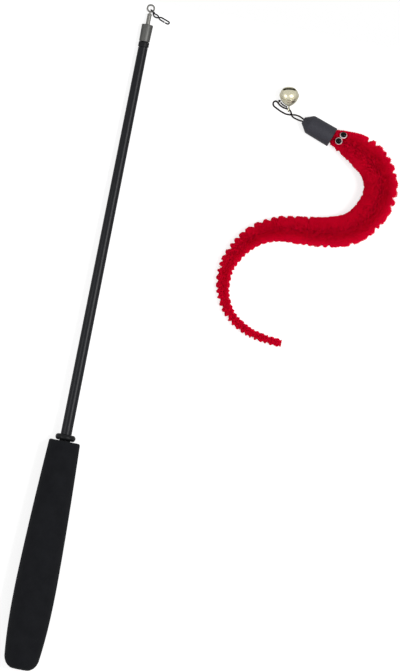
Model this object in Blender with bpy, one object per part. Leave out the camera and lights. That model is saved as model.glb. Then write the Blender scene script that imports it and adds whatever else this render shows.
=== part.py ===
"""A telescopic cat teaser wand and its chenille worm lure, as separate pieces, in metres, +Z up.

The origin is the centre of the wand's flat butt face. +Y runs towards the tip and +X to the lure,
which lies beside the wand. The wand lies on its grip's belly and its tip ferrule, so its axis dips a
little towards the tip. Every piece rests on, or hangs in, the one next to it.
"""

import math

import bmesh
import bpy
from mathutils import Matrix, Vector

# Clearances
FIT_GAP = 0.0003
LIE_GAP = 0.00005

# Grip
GRIP_LENGTH = 0.137
GRIP_BUTT_DIAMETER = 0.0189
GRIP_BELLY_DIAMETER = 0.0246
GRIP_BELLY_AT = 0.0475
GRIP_TOP_DIAMETER = 0.0185
GRIP_BUTT_SWELL = 2.45
GRIP_TOP_SWELL = 1.46
GRIP_TOP_ROUND = 0.0012
BUTT_CORNER_DEPTH = 0.007
BUTT_CORNER_WIDTH = 0.0053
BUTT_CAP_DIAMETER = 0.013
BUTT_CAP_THICKNESS = 0.0026
BUTT_PLUG_LENGTH = 0.010
COLLAR_DIAMETER = 0.012
COLLAR_THICKNESS = 0.0037

# Telescopic sections
OUTER_TUBE_DIAMETER = 0.0066
OUTER_TUBE_END_DIAMETER = 0.0057
OUTER_TUBE_SHOWN = 0.2401
OUTER_BORE_DIAMETER = 0.0048
OUTER_MOUTH_BORE = 0.0040
OUTER_MOUTH_LENGTH = 0.012
MOUTH_COLLAR_DIAMETER = 0.0063
MOUTH_COLLAR_LENGTH = 0.003
MOUTH_NECK_DIAMETER = 0.0047
MIDDLE_TUBE_DIAMETER = 0.0035
MIDDLE_BORE_DIAMETER = 0.0029
MIDDLE_MOUTH_BORE = 0.0023
MIDDLE_MOUTH_LENGTH = 0.010
MIDDLE_ROOT_DIAMETER = 0.0043
TIP_ROD_DIAMETER = 0.0019
TIP_ROOT_DIAMETER = 0.0024
ROOT_LENGTH = 0.050
ROOT_TAPER = 0.003

# Tip ferrule and swivel
FERRULE_LENGTH = 0.0102
FERRULE_TOP_DIAMETER = 0.0067
FERRULE_FOOT_DIAMETER = 0.0063
FERRULE_ROUND = 0.0005
FERRULE_SEAT_DEPTH = 0.0041
BARREL_DIAMETER = 0.0025
BARREL_SHOWN = 0.0067
BARREL_WALL = 0.0003
BARREL_CHAMBER_LENGTH = 0.0018
BARREL_MOUTH_LENGTH = 0.0008
BARREL_MOUTH_BORE = 0.00118
EYE_SHANK_DIAMETER = 0.00076
EYE_HEAD_DIAMETER = 0.0014
EYE_HEAD_LENGTH = 0.0009
EYE_SHANK_SHOWN = 0.0006
EYE_WIRE = 0.00105
EYE_OUTER_DIAMETER = 0.0051

# Snap: its routes run from the middle of the ring's wire, as shares of its reach, of its spread to
# the left and of its drop to the floor
SNAP_WIRE = 0.00085
SNAP_EYE_RADIUS = 0.00125
SNAP_EYE_TAIL = 0.0003
SNAP_GATE_START = 0.0008
SNAP_REACH = 0.0119
SNAP_SPREAD = 0.0008
SNAP_ON_RING_ANGLE = math.radians(-45)
SNAP_HEADING = math.radians(-25.3)
SNAP_FIXED_ROUTE = (
    (0.07, -0.75, 0.42),
    (0.13, -1.75, 0.62),
    (0.20, -2.3, 0.77),
    (0.30, -2.2, 0.89),
    (0.36, -1.8, 0.93),
    (0.42, -1.0, 0.96),
    (0.48, -0.2, 0.98),
    (0.54, 0.2, 0.99),
    (0.62, 0.35, 1.0),
    (0.75, 0.57, 1.0),
    (0.90, 0.83, 1.0),
    (0.965, 0.79, 1.0),
    (1.0, 0.3, 1.0),
    (1.0, -0.3, 1.0),
    (0.965, -0.91, 1.0),
    (0.90, -1.17, 1.0),
    (0.82, -1.31, 1.0),
)
SNAP_GATE_ROUTE = (
    (0.17, -0.67, -0.28),
    (0.24, -0.42, -0.14),
    (0.30, -0.32, -0.02),
    (0.36, -0.5, 0.12),
    (0.42, -1.0, 0.27),
    (0.48, -1.48, 0.42),
    (0.54, -1.7, 0.56),
    (0.61, -1.66, 0.72),
    (0.70, -1.5, 0.87),
    (0.78, -1.37, 0.965),
)

# Lure cap and cord, lying on the floor. The cap's nose is the place that the cord, its thread and
# the bell are measured from: across, along and, for the cord, above the floor
CAP_APEX = (0.1011, 0.3501)
CAP_HEADING = math.radians(-19.4)
CAP_DIAMETER = 0.012
CAP_LENGTH = 0.020
CAP_SHOULDER_DIAMETER = 0.0116
CAP_SHOULDER_LENGTH = 0.0045
CAP_SHOULDER_ROUND = 0.0008
CAP_NOSE_DIAMETER = 0.0041
CAP_WALL = 0.0008
CAP_HOLE_DIAMETER = 0.0031
CAP_HOLE_LENGTH = 0.0015
CORD_DIAMETER = 0.0011
CORD_STEP = 0.0016
CORD_INSIDE = 0.0041
KNOT_DIAMETER = 0.0046
CORD_ROUTE = (
    (0.0041, -0.0007, 0.00605),
    (0.0023, -0.0001, 0.00605),
    (0.00025, 0.00065, 0.006),
    (-0.0009, 0.00125, 0.0056),
    (-0.0022, 0.0018, 0.00495),
    (-0.0038, 0.0022, 0.0042),
    (-0.0055, 0.0023, 0.0034),
    (-0.00735, 0.0020, 0.0026),
    (-0.00925, 0.0018, 0.0017),
    (-0.0106, 0.0019, 0.00105),
    (-0.0119, 0.0022, 0.0007),
    (-0.0133, 0.00265, 0.0006),
    (-0.0147, 0.0032, 0.0006),
    (-0.0172, 0.0044, 0.0006),
    (-0.0185, 0.0051, 0.0006),
    (-0.0192, 0.0063, 0.0006),
    (-0.0190, 0.0076, 0.00065),
    (-0.0180, 0.0082, 0.0008),
    (-0.0170, 0.0079, 0.001),
    (-0.0160, 0.0070, 0.0012),
    (-0.0150, 0.0062, 0.00135),
    (-0.0137, 0.0056, 0.0015),
    (-0.0124, 0.0052, 0.0016),
    (-0.0110, 0.00505, 0.0016),
    (-0.0095, 0.0048, 0.0016),
    (-0.0084, 0.0042, 0.0014),
    (-0.0078, 0.0033, 0.00125),
    (-0.0074, 0.0023, 0.0012),
    (-0.0067, 0.0013, 0.00145),
    (-0.0056, 0.0006, 0.0021),
    (-0.0044, 0.0002, 0.0031),
    (-0.0031, -0.0002, 0.0043),
    (-0.0015, -0.0005, 0.0055),
    (-0.00022, -0.00066, 0.006),
    (0.0018, -0.0014, 0.00605),
    (0.00365, -0.00202, 0.00605),
)
TIE_DIAMETER = 0.0010
TIE_ROUTE = (
    (-0.01075, 0.0059, 0.0027),
    (-0.0119, 0.0063, 0.0026),
    (-0.0131, 0.0067, 0.0025),
    (-0.0142, 0.0073, 0.00245),
    (-0.0151, 0.0080, 0.00245),
)
TIE_KNOT_DIAMETER = 0.0017

# Jingle bell: an egg whose slit half is shallower than the half that carries the loop. It leans on
# its loop, with its slit raised
BELL_FROM_APEX = (-0.0109, 0.01275)
BELL_DIAMETER = 0.0109
BELL_SLIT_DEPTH = 0.0045
BELL_SLIT_POINT = 0.6
BELL_SHANK_DEPTH = 0.0072
BELL_SHANK_POINT = 1.6
BELL_WALL = 0.00045
BELL_POLE_HEADING = math.radians(100)
BELL_POLE_RISE = math.radians(33)
BELL_SLIT_WIDTH = 0.0020
BELL_SLIT_REACH = 0.0026
BELL_SLIT_FOOT = 0.0014
BELL_SLIT_END_DIAMETER = 0.0025
BELL_LIP_WIDTH = 0.0004
BELL_LIP_PROUD = 0.0003
BELL_RIVET_HOLE = 0.0016
BELL_RIVET_NECK = 0.0009
BELL_RIVET_HEAD = 0.0024
BELL_RIVET_HEAD_LENGTH = 0.0005
BELL_LOOP_STAND = 0.0009
BELL_LOOP_OUTER_DIAMETER = 0.0031
BELL_LOOP_WIRE = 0.0006
CORD_HEADING_AT_BELL = math.radians(-15)
PELLET_DIAMETER = 0.0032

# Eyes: how far beyond the cap's mouth, how far round the worm from its top, and how far each one
# leans aside; both tip towards the cap
EYE_BACK_DIAMETER = 0.0042
EYE_BACK_THICKNESS = 0.0011
EYE_PUPIL_DIAMETER = 0.0036
EYE_PUPIL_HEIGHT = 0.0012
EYE_STAND = 0.0005
EYE_TIP = math.radians(5)
EYE_PLACES = (
    (0.0043, math.radians(-7), math.radians(-2)),
    (0.0056, math.radians(29.5), math.radians(20)),
)

# Worm: the stem's route seen from above, from the middle of the cap's mouth, and the pile's radius
# at distances from that mouth
WORM_IN_CAP = 0.009
WORM_ROUTE = (
    (0.0072, -0.0014),
    (0.0167, -0.0043),
    (0.0283, -0.0118),
    (0.0341, -0.0249),
    (0.0310, -0.0387),
    (0.0220, -0.0503),
    (0.0086, -0.0553),
    (-0.0055, -0.0573),
    (-0.0196, -0.0589),
    (-0.0323, -0.0648),
    (-0.0416, -0.0755),
    (-0.0466, -0.0884),
    (-0.0453, -0.1028),
    (-0.0382, -0.1147),
    (-0.0260, -0.1221),
    (-0.0130, -0.1247),
    (-0.0060, -0.1250),
)
PILE_RADIUS_AT = (
    (0.0002, 0.0041),
    (0.0006, 0.0050),
    (0.0045, 0.0058),
    (0.009, 0.0068),
    (0.015, 0.0083),
    (0.022, 0.0093),
    (0.050, 0.0093),
    (0.080, 0.0087),
    (0.106, 0.0077),
    (0.135, 0.0059),
    (0.160, 0.0044),
    (0.185, 0.0031),
    (0.225, 0.0023),
)
CAP_CARRIES_TO = 0.009
RING_SPACING = 0.0056
LINK_COUNT = 8
BEND_RANGE = math.radians(15)
LINK_GAP = 0.0003
CORE_DIAMETER = 0.0014
CORE_GAP = 0.0005

# Roundness of the faceted pieces, in sides
GRIP_SIDES = 28
TUBE_SIDES = 16
CAP_SIDES = 24
BELL_SIDES = 20
PILE_SIDES = 16
RIVET_SIDES = 12
CORE_SIDES = 8
WIRE_SIDES = 8
RING_STEPS = 18
ARC_STEPS = 5

# Places along the wand, from the butt face
RECESS_FLOOR = BUTT_CAP_THICKNESS + FIT_GAP
TUBE_START = RECESS_FLOOR
PLUG_END = BUTT_CAP_THICKNESS + BUTT_PLUG_LENGTH
TUBE_END = GRIP_LENGTH + OUTER_TUBE_SHOWN + FIT_GAP
SECTION_START = PLUG_END + FIT_GAP
FERRULE_FOOT = TUBE_END + FIT_GAP
FERRULE_TOP = FERRULE_FOOT + FERRULE_LENGTH
BARREL_FOOT = FERRULE_TOP - FERRULE_SEAT_DEPTH + FIT_GAP
BARREL_TOP = FERRULE_TOP + BARREL_SHOWN
EYE_CENTRE = BARREL_TOP + EYE_SHANK_SHOWN + EYE_OUTER_DIAMETER / 2

BELL_LOOP_REACH = BELL_SHANK_DEPTH + BELL_LOOP_STAND + BELL_LOOP_OUTER_DIAMETER / 2


def grip_radius(along):
    """The grip's radius, swelling from the butt to the belly and falling away to the top."""
    if along < GRIP_BELLY_AT:
        drop = (GRIP_BELLY_DIAMETER - GRIP_BUTT_DIAMETER) / 2
        return GRIP_BELLY_DIAMETER / 2 - drop * (1 - along / GRIP_BELLY_AT) ** GRIP_BUTT_SWELL
    drop = (GRIP_BELLY_DIAMETER - GRIP_TOP_DIAMETER) / 2
    share = (along - GRIP_BELLY_AT) / (GRIP_LENGTH - GRIP_BELLY_AT)
    return GRIP_BELLY_DIAMETER / 2 - drop * share**GRIP_TOP_SWELL


def wand_lie():
    """How far the wand's axis dips and how low the floor is: it lies on its grip and its ferrule."""
    edge_at = FERRULE_TOP - FERRULE_ROUND
    edge_radius = FERRULE_TOP_DIAMETER / 2
    stations = [GRIP_LENGTH * step / 200 for step in range(201)]
    dip = 0.0
    for _ in range(10):
        lowest = max(
            along * math.sin(dip) + grip_radius(along) * math.cos(dip) for along in stations
        )
        dip = math.asin((lowest - edge_radius * math.cos(dip)) / edge_at)
    return dip, -lowest


WAND_DIP, FLOOR = wand_lie()
SNAP_DROP = -EYE_CENTRE * math.sin(WAND_DIP) - FLOOR - SNAP_WIRE / 2 - LIE_GAP


def clear_scene():
    """Take out whatever the open file holds."""
    for item in list(bpy.data.objects):
        bpy.data.objects.remove(item, do_unlink=True)


def make_finish(name, colour, roughness, metallic=0.0):
    """A plain surface finish: linear colour, roughness and metallic value."""
    finish = bpy.data.materials.new(name)
    finish.use_nodes = True
    shader = finish.node_tree.nodes["Principled BSDF"]
    shader.inputs["Base Color"].default_value = (*colour, 1.0)
    shader.inputs["Roughness"].default_value = roughness
    shader.inputs["Metallic"].default_value = metallic
    return finish


def add_frame(name, place, parent=None):
    """An empty that carries pieces or stands on a joint; place is its matrix in the world."""
    frame = bpy.data.objects.new(name, None)
    frame.empty_display_size = 0.01
    bpy.context.collection.objects.link(frame)
    frame.parent = parent
    bpy.context.view_layer.update()
    frame.matrix_world = place
    bpy.context.view_layer.update()
    return frame


def add_piece(name, data, finish, parent):
    """One named solid made of mesh or curve data that is given in its parent's frame."""
    piece = bpy.data.objects.new(name, data)
    bpy.context.collection.objects.link(piece)
    piece.parent = parent
    data.materials.append(finish)
    return piece


def mesh_of(name, shape):
    """Mesh data from a closed bmesh, with its faces turned out and its round sides shaded smooth."""
    bmesh.ops.recalc_face_normals(shape, faces=shape.faces)
    data = bpy.data.meshes.new(name)
    shape.to_mesh(data)
    shape.free()
    data.shade_smooth()
    data.set_sharp_from_angle(angle=math.radians(35))
    return data


def turned(outline, sides):
    """A bmesh turned about local Z from (radius, height) points; off the axis the outline closes."""
    on_axis = 1e-9
    shape = bmesh.new()
    points = [shape.verts.new((radius, 0.0, height)) for radius, height in outline]
    edges = [shape.edges.new(pair) for pair in zip(points, points[1:])]
    if outline[0][0] > on_axis:
        edges.append(shape.edges.new((points[-1], points[0])))
    bmesh.ops.spin(
        shape,
        geom=points + edges,
        cent=(0.0, 0.0, 0.0),
        axis=(0.0, 0.0, 1.0),
        angle=math.tau,
        steps=sides,
        use_merge=True,
    )
    bmesh.ops.remove_doubles(shape, verts=shape.verts, dist=1e-6)
    return shape


def ring_shape(middle_radius, wire_radius, centre_height):
    """A wire ring standing in the local XZ plane, with its centre up the local Z axis."""
    shape = bmesh.new()
    rows = []
    for step in range(RING_STEPS):
        turn = math.tau * step / RING_STEPS
        outwards = Vector((math.sin(turn), 0.0, math.cos(turn)))
        middle = Vector((0.0, 0.0, centre_height)) + outwards * middle_radius
        row = []
        for side in range(WIRE_SIDES):
            angle = math.tau * side / WIRE_SIDES
            offset = outwards * math.cos(angle) + Vector((0.0, 1.0, 0.0)) * math.sin(angle)
            row.append(shape.verts.new(middle + offset * wire_radius))
        rows.append(row)
    for row, following in zip(rows, rows[1:] + rows[:1]):
        for side in range(WIRE_SIDES):
            after = (side + 1) % WIRE_SIDES
            shape.faces.new((row[side], row[after], following[after], following[side]))
    return shape


def join_with(piece, other_data, parent):
    """Fuse a second closed shape into a piece with a Boolean union."""
    other = bpy.data.objects.new(piece.name + "_added", other_data)
    bpy.context.collection.objects.link(other)
    other.parent = parent
    other.hide_render = True
    other.display_type = "WIRE"
    union = piece.modifiers.new("union", "BOOLEAN")
    union.operation = "UNION"
    union.object = other


def cut_with(piece, cutter_data, parent, name):
    """Cut a closed shape out of a piece with a Boolean difference."""
    cutter = bpy.data.objects.new(name, cutter_data)
    bpy.context.collection.objects.link(cutter)
    cutter.parent = parent
    cutter.hide_render = True
    cutter.display_type = "WIRE"
    cut = piece.modifiers.new("cut", "BOOLEAN")
    cut.operation = "DIFFERENCE"
    cut.object = cutter


def arc(centre, radii, start, end, steps=ARC_STEPS):
    """Points of an elliptical arc as (radius, height), angles measured from the radius direction."""
    points = []
    for step in range(steps + 1):
        angle = start + (end - start) * step / steps
        points.append((centre[0] + radii[0] * math.cos(angle), centre[1] + radii[1] * math.sin(angle)))
    return points


def smooth_line(route, spacing):
    """Points an even distance apart on a smooth curve through the route's own points."""
    points = [Vector(point) for point in route]
    ends = [points[0] * 2 - points[1]] + points + [points[-1] * 2 - points[-2]]
    fine = []
    parts = 24
    for index in range(1, len(ends) - 2):
        before, here, there, after = ends[index - 1 : index + 3]
        for part in range(parts):
            t = part / parts
            fine.append(
                0.5
                * (
                    here * 2
                    + (there - before) * t
                    + (before * 2 - here * 5 + there * 4 - after) * t**2
                    + (here * 3 - before - there * 3 + after) * t**3
                )
            )
    fine.append(points[-1])
    travelled = [0.0]
    for here, there in zip(fine, fine[1:]):
        travelled.append(travelled[-1] + (there - here).length)
    count = max(2, round(travelled[-1] / spacing))
    evenly = []
    index = 0
    for step in range(count + 1):
        target = travelled[-1] * step / count
        while index < len(fine) - 2 and travelled[index + 1] < target:
            index += 1
        share = (target - travelled[index]) / (travelled[index + 1] - travelled[index])
        evenly.append(fine[index].lerp(fine[index + 1], share))
    return evenly


def tube_curve(name, points, diameter):
    """Curve data for a round wire or cord through points, with filled ends."""
    data = bpy.data.curves.new(name, "CURVE")
    data.dimensions = "3D"
    spline = data.splines.new("POLY")
    spline.points.add(len(points) - 1)
    for knot, point in zip(spline.points, points):
        knot.co = (*point, 1.0)
    data.bevel_depth = diameter / 2
    data.bevel_resolution = 2
    data.use_fill_caps = True
    return data


def butt_corner(angle):
    """A point of the grip's rounded butt end: 0 is the flat face's edge, a quarter turn the side."""
    flat_radius = GRIP_BUTT_DIAMETER / 2 - BUTT_CORNER_WIDTH
    along = BUTT_CORNER_DEPTH * (1 - math.cos(angle))
    rounded = flat_radius + BUTT_CORNER_WIDTH * math.sin(angle)
    return rounded + grip_radius(along) - GRIP_BUTT_DIAMETER / 2, along


def cap_edge_angle():
    """Where on the rounded butt end the butt cap's edge lies."""
    flat_radius = GRIP_BUTT_DIAMETER / 2 - BUTT_CORNER_WIDTH
    return math.asin((BUTT_CAP_DIAMETER / 2 - flat_radius) / BUTT_CORNER_WIDTH)


def build_grip(foam, axis):
    """The foam sleeve: a recess for the butt cap, a rounded end, a barrel side and a bore."""
    edge = cap_edge_angle()
    recess_radius = butt_corner(edge)[0] + FIT_GAP
    bore_radius = OUTER_TUBE_DIAMETER / 2 + FIT_GAP
    corner = [
        butt_corner(edge + (math.pi / 2 - edge) * step / ARC_STEPS) for step in range(ARC_STEPS + 1)
    ]
    corner = [(radius, along) for radius, along in corner if radius > recess_radius]
    outline = [(bore_radius, RECESS_FLOOR), (recess_radius, RECESS_FLOOR)]
    outline.append((recess_radius, butt_corner(edge)[1] + FIT_GAP / 2))
    outline += corner
    stations = 14
    side_start = BUTT_CORNER_DEPTH
    side_end = GRIP_LENGTH - GRIP_TOP_ROUND
    for step in range(1, stations):
        along = side_start + (side_end - side_start) * step / stations
        outline.append((grip_radius(along), along))
    top_radius = grip_radius(side_end)
    outline += arc(
        (top_radius - GRIP_TOP_ROUND, side_end), (GRIP_TOP_ROUND, GRIP_TOP_ROUND), 0.0, math.pi / 2, 3
    )
    outline.append((bore_radius, GRIP_LENGTH))
    add_piece("grip", mesh_of("grip", turned(outline, GRIP_SIDES)), foam, axis)


def build_butt_cap(rubber, axis):
    """The plug in the butt: a domed button with a flat middle and a spigot that enters the tube."""
    edge = cap_edge_angle()
    outline = [(0.0, 0.0)]
    outline += [butt_corner(edge * step / 3) for step in range(4)]
    outline.append((butt_corner(edge)[0], BUTT_CAP_THICKNESS))
    plug_radius = OUTER_BORE_DIAMETER / 2 - FIT_GAP
    outline += [(plug_radius, BUTT_CAP_THICKNESS), (plug_radius, PLUG_END), (0.0, PLUG_END)]
    add_piece("butt_cap", mesh_of("butt_cap", turned(outline, GRIP_SIDES)), rubber, axis)


def build_grip_collar(rubber, axis):
    """The round-edged ring that trims the tube where it leaves the grip."""
    inner = OUTER_TUBE_DIAMETER / 2 + FIT_GAP
    half = COLLAR_THICKNESS / 2
    middle = GRIP_LENGTH + FIT_GAP + half
    side_round = 0.0016
    outline = [(inner, middle - half)]
    outline += arc(
        (COLLAR_DIAMETER / 2 - side_round, middle), (side_round, half), -math.pi / 2, math.pi / 2, 8
    )
    outline.append((inner, middle + half))
    add_piece("grip_collar", mesh_of("grip_collar", turned(outline, GRIP_SIDES)), rubber, axis)


def build_outer_tube(blank, axis):
    """The outer section: straight inside the grip, then tapered, with a turned-down neck."""
    neck_start = TUBE_END - MOUTH_COLLAR_LENGTH - FIT_GAP
    bore = OUTER_BORE_DIAMETER / 2
    mouth_bore = OUTER_MOUTH_BORE / 2
    mouth_start = TUBE_END - OUTER_MOUTH_LENGTH
    outline = [
        (bore, TUBE_START),
        (OUTER_TUBE_DIAMETER / 2, TUBE_START),
        (OUTER_TUBE_DIAMETER / 2, GRIP_LENGTH),
        (OUTER_TUBE_END_DIAMETER / 2, neck_start),
        (MOUTH_NECK_DIAMETER / 2, neck_start),
        (MOUTH_NECK_DIAMETER / 2, TUBE_END),
        (mouth_bore, TUBE_END),
        (mouth_bore, mouth_start),
        (bore, mouth_start - ROOT_TAPER),
    ]
    add_piece("outer_tube", mesh_of("outer_tube", turned(outline, TUBE_SIDES)), blank, axis)


def build_mouth_collar(rubber, axis):
    """The black collar pressed over the outer tube's neck, flush with its mouth."""
    start = TUBE_END - MOUTH_COLLAR_LENGTH
    inner = MOUTH_NECK_DIAMETER / 2 + FIT_GAP
    outer = MOUTH_COLLAR_DIAMETER / 2
    outline = [
        (inner, start),
        (outer - FIT_GAP, start),
        (outer, start + FIT_GAP),
        (outer, TUBE_END - FIT_GAP),
        (outer - FIT_GAP, TUBE_END),
        (inner, TUBE_END),
    ]
    add_piece("mouth_collar", mesh_of("mouth_collar", turned(outline, TUBE_SIDES)), rubber, axis)


def build_middle_tube(blank, axis):
    """The middle section, whose wider root stays behind the outer tube's narrow mouth."""
    root_end = SECTION_START + ROOT_LENGTH
    mouth_start = TUBE_END - MIDDLE_MOUTH_LENGTH
    bore = MIDDLE_BORE_DIAMETER / 2
    mouth_bore = MIDDLE_MOUTH_BORE / 2
    outer = MIDDLE_TUBE_DIAMETER / 2
    outline = [
        (bore, SECTION_START),
        (MIDDLE_ROOT_DIAMETER / 2, SECTION_START),
        (MIDDLE_ROOT_DIAMETER / 2, root_end - ROOT_TAPER),
        (outer, root_end),
        (outer, TUBE_END),
        (mouth_bore, TUBE_END),
        (mouth_bore, mouth_start),
        (bore, mouth_start - ROOT_TAPER),
    ]
    add_piece("middle_tube", mesh_of("middle_tube", turned(outline, TUBE_SIDES)), blank, axis)


def build_tip_rod(blank, axis):
    """The solid tip section, from its wider root to its seat in the ferrule."""
    root_end = SECTION_START + ROOT_LENGTH
    top = BARREL_FOOT - FIT_GAP
    outline = [
        (0.0, SECTION_START),
        (TIP_ROOT_DIAMETER / 2, SECTION_START),
        (TIP_ROOT_DIAMETER / 2, root_end - ROOT_TAPER),
        (TIP_ROD_DIAMETER / 2, root_end),
        (TIP_ROD_DIAMETER / 2, top),
        (0.0, top),
    ]
    add_piece("tip_rod", mesh_of("tip_rod", turned(outline, TUBE_SIDES)), blank, axis)


def build_ferrule(steel, axis):
    """The metal sleeve on the tip: bored for the rod below and for the swivel barrel above."""
    rod_bore = TIP_ROD_DIAMETER / 2 + FIT_GAP
    barrel_bore = BARREL_DIAMETER / 2 + FIT_GAP
    seat = FERRULE_TOP - FERRULE_SEAT_DEPTH
    foot = FERRULE_FOOT_DIAMETER / 2
    top = FERRULE_TOP_DIAMETER / 2
    outline = [(rod_bore, FERRULE_FOOT), (foot - FERRULE_ROUND / 2, FERRULE_FOOT)]
    outline.append((foot, FERRULE_FOOT + FERRULE_ROUND / 2))
    outline += arc(
        (top - FERRULE_ROUND, FERRULE_TOP - FERRULE_ROUND),
        (FERRULE_ROUND, FERRULE_ROUND),
        0.0,
        math.pi / 2,
        3,
    )
    outline += [(barrel_bore, FERRULE_TOP), (barrel_bore, seat), (rod_bore, seat)]
    add_piece("tip_ferrule", mesh_of("tip_ferrule", turned(outline, TUBE_SIDES)), steel, axis)


def build_swivel_barrel(steel, axis):
    """The swivel's barrel: a solid foot and a chamber that traps the eye's head."""
    outer = BARREL_DIAMETER / 2
    chamber = outer - BARREL_WALL
    mouth = BARREL_MOUTH_BORE / 2
    chamber_top = BARREL_TOP - BARREL_MOUTH_LENGTH
    chamber_floor = chamber_top - BARREL_CHAMBER_LENGTH
    outline = [
        (0.0, BARREL_FOOT),
        (outer, BARREL_FOOT),
        (outer, BARREL_TOP - FIT_GAP),
        (outer - FIT_GAP, BARREL_TOP),
        (mouth, BARREL_TOP),
        (mouth, chamber_top),
        (chamber, chamber_top),
        (chamber, chamber_floor),
        (0.0, chamber_floor),
    ]
    add_piece("swivel_barrel", mesh_of("swivel_barrel", turned(outline, TUBE_SIDES)), steel, axis)


def build_swivel_eye(steel, spin_axis):
    """The swivel's wire ring, on a shank whose head sits in the barrel's chamber."""
    head_top = BARREL_TOP - BARREL_MOUTH_LENGTH - FIT_GAP
    head_foot = head_top - EYE_HEAD_LENGTH
    shank = EYE_SHANK_DIAMETER / 2
    outline = [
        (0.0, head_foot),
        (EYE_HEAD_DIAMETER / 2, head_foot),
        (EYE_HEAD_DIAMETER / 2, head_top),
        (shank, head_top),
        (shank, EYE_CENTRE - EYE_OUTER_DIAMETER / 2 + EYE_WIRE / 2),
        (0.0, EYE_CENTRE - EYE_OUTER_DIAMETER / 2 + EYE_WIRE / 2),
    ]
    shank_data = mesh_of("swivel_eye_shank", turned(outline, RIVET_SIDES))
    ring = ring_shape((EYE_OUTER_DIAMETER - EYE_WIRE) / 2, EYE_WIRE / 2, EYE_CENTRE)
    piece = add_piece("swivel_eye", mesh_of("swivel_eye", ring), steel, spin_axis)
    join_with(piece, shank_data, spin_axis)


def snap_points(route):
    """A snap route's shares as places in the snap's own frame."""
    return [
        Vector((reach * SNAP_REACH, spread * SNAP_SPREAD, -drop * SNAP_DROP))
        for reach, spread, drop in route
    ]


def gate_hinge():
    """Where the springy leg leaves the snap's eye, in the snap's own frame."""
    return Vector((SNAP_GATE_START, 0.0, SNAP_EYE_RADIUS))


def build_snap(steel, snap_frame, gate_frame):
    """The snap: a fixed wire with an eye and a hook, and a springy leg that closes it."""
    bend = []
    bend_steps = 8
    for step in range(bend_steps + 1):
        angle = math.pi / 2 + math.pi * step / bend_steps
        bend.append(Vector((math.cos(angle), 0.0, math.sin(angle))) * SNAP_EYE_RADIUS)
    leg = smooth_line([bend[-1], *snap_points(SNAP_FIXED_ROUTE)], SNAP_WIRE)
    eye_end = Vector((SNAP_EYE_TAIL, 0.0, SNAP_EYE_RADIUS))
    route = [eye_end, *bend[:-1], *leg]
    add_piece("snap_wire", tube_curve("snap_wire", route, SNAP_WIRE), steel, snap_frame)
    gate_line = smooth_line([gate_hinge(), *snap_points(SNAP_GATE_ROUTE)], SNAP_WIRE * 1.3)
    gate = [point - gate_hinge() for point in gate_line]
    add_piece("snap_gate", tube_curve("snap_gate", gate, SNAP_WIRE), steel, gate_frame)


def build_cap(plastic, cap_frame):
    """The moulded cap: a cone with a cord hole at its nose and a deep socket for the worm."""
    outer = CAP_DIAMETER / 2
    shoulder = CAP_SHOULDER_DIAMETER / 2
    nose = CAP_NOSE_DIAMETER / 2
    hole = CAP_HOLE_DIAMETER / 2
    round_off = CAP_SHOULDER_ROUND
    outline = [
        (hole, 0.0),
        (nose - FIT_GAP / 2, 0.0),
        (nose, FIT_GAP / 2),
        (shoulder - round_off, CAP_SHOULDER_LENGTH - round_off),
        (shoulder - round_off / 4, CAP_SHOULDER_LENGTH),
        (shoulder, CAP_SHOULDER_LENGTH + round_off),
        (outer, CAP_LENGTH - FIT_GAP),
        (outer - FIT_GAP, CAP_LENGTH),
        (outer - CAP_WALL, CAP_LENGTH),
        (shoulder - CAP_WALL, CAP_SHOULDER_LENGTH + CAP_WALL),
        (hole, CAP_HOLE_LENGTH),
    ]
    add_piece("lure_cap", mesh_of("lure_cap", turned(outline, CAP_SIDES)), plastic, cap_frame)


def build_cord_knot(cord_finish, cap_frame):
    """The knot that stops the cord in the cap, just past the cord's two ends."""
    radius = KNOT_DIAMETER / 2
    centre = CORD_INSIDE + FIT_GAP + radius
    outline = arc((0.0, centre), (radius, radius), -math.pi / 2, math.pi / 2, 8)
    add_piece("cord_knot", mesh_of("cord_knot", turned(outline, RIVET_SIDES)), cord_finish, cap_frame)


def lure_places(route):
    """A route's points, across and along from the cap's nose and above the floor, in the world."""
    origin = Vector((*CAP_APEX, FLOOR))
    return [origin + Vector(point) for point in route]


def build_cord(cord_finish, cap_frame):
    """The cord loop, from the knot out through the bell's loop and back to the knot."""
    to_frame = cap_frame.matrix_world.inverted()
    line = [to_frame @ point for point in smooth_line(lure_places(CORD_ROUTE), CORD_STEP)]
    add_piece("cord_loop", tube_curve("cord_loop", line, CORD_DIAMETER), cord_finish, cap_frame)


def build_bell_tie(cord_finish, cap_frame):
    """The short thread beside the bell, and the small knot at its end."""
    to_frame = cap_frame.matrix_world.inverted()
    line = [to_frame @ point for point in smooth_line(lure_places(TIE_ROUTE), CORD_STEP / 2)]
    add_piece("bell_tie", tube_curve("bell_tie", line, TIE_DIAMETER), cord_finish, cap_frame)
    away = (line[-1] - line[-2]).normalized()
    knot = bmesh.new()
    place = line[-1] + away * (TIE_KNOT_DIAMETER / 2 + FIT_GAP / 2)
    bmesh.ops.create_icosphere(
        knot, subdivisions=2, radius=TIE_KNOT_DIAMETER / 2, matrix=Matrix.Translation(place)
    )
    add_piece("tie_knot", mesh_of("tie_knot", knot), cord_finish, cap_frame)


def bell_pole():
    """The direction from the bell's loop through its middle and out of its slit."""
    flat = math.cos(BELL_POLE_RISE)
    return Vector(
        (
            flat * math.cos(BELL_POLE_HEADING),
            flat * math.sin(BELL_POLE_HEADING),
            math.sin(BELL_POLE_RISE),
        )
    )


def shell_side(across, deep, point, start, end, steps=6):
    """A half shell's side as (radius, height) points; point 1 is an ellipse, less a blunter one."""
    side = []
    for step in range(steps + 1):
        angle = start + (end - start) * step / steps
        side.append((across * math.cos(angle) ** point, deep * math.sin(angle)))
    return side


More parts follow.
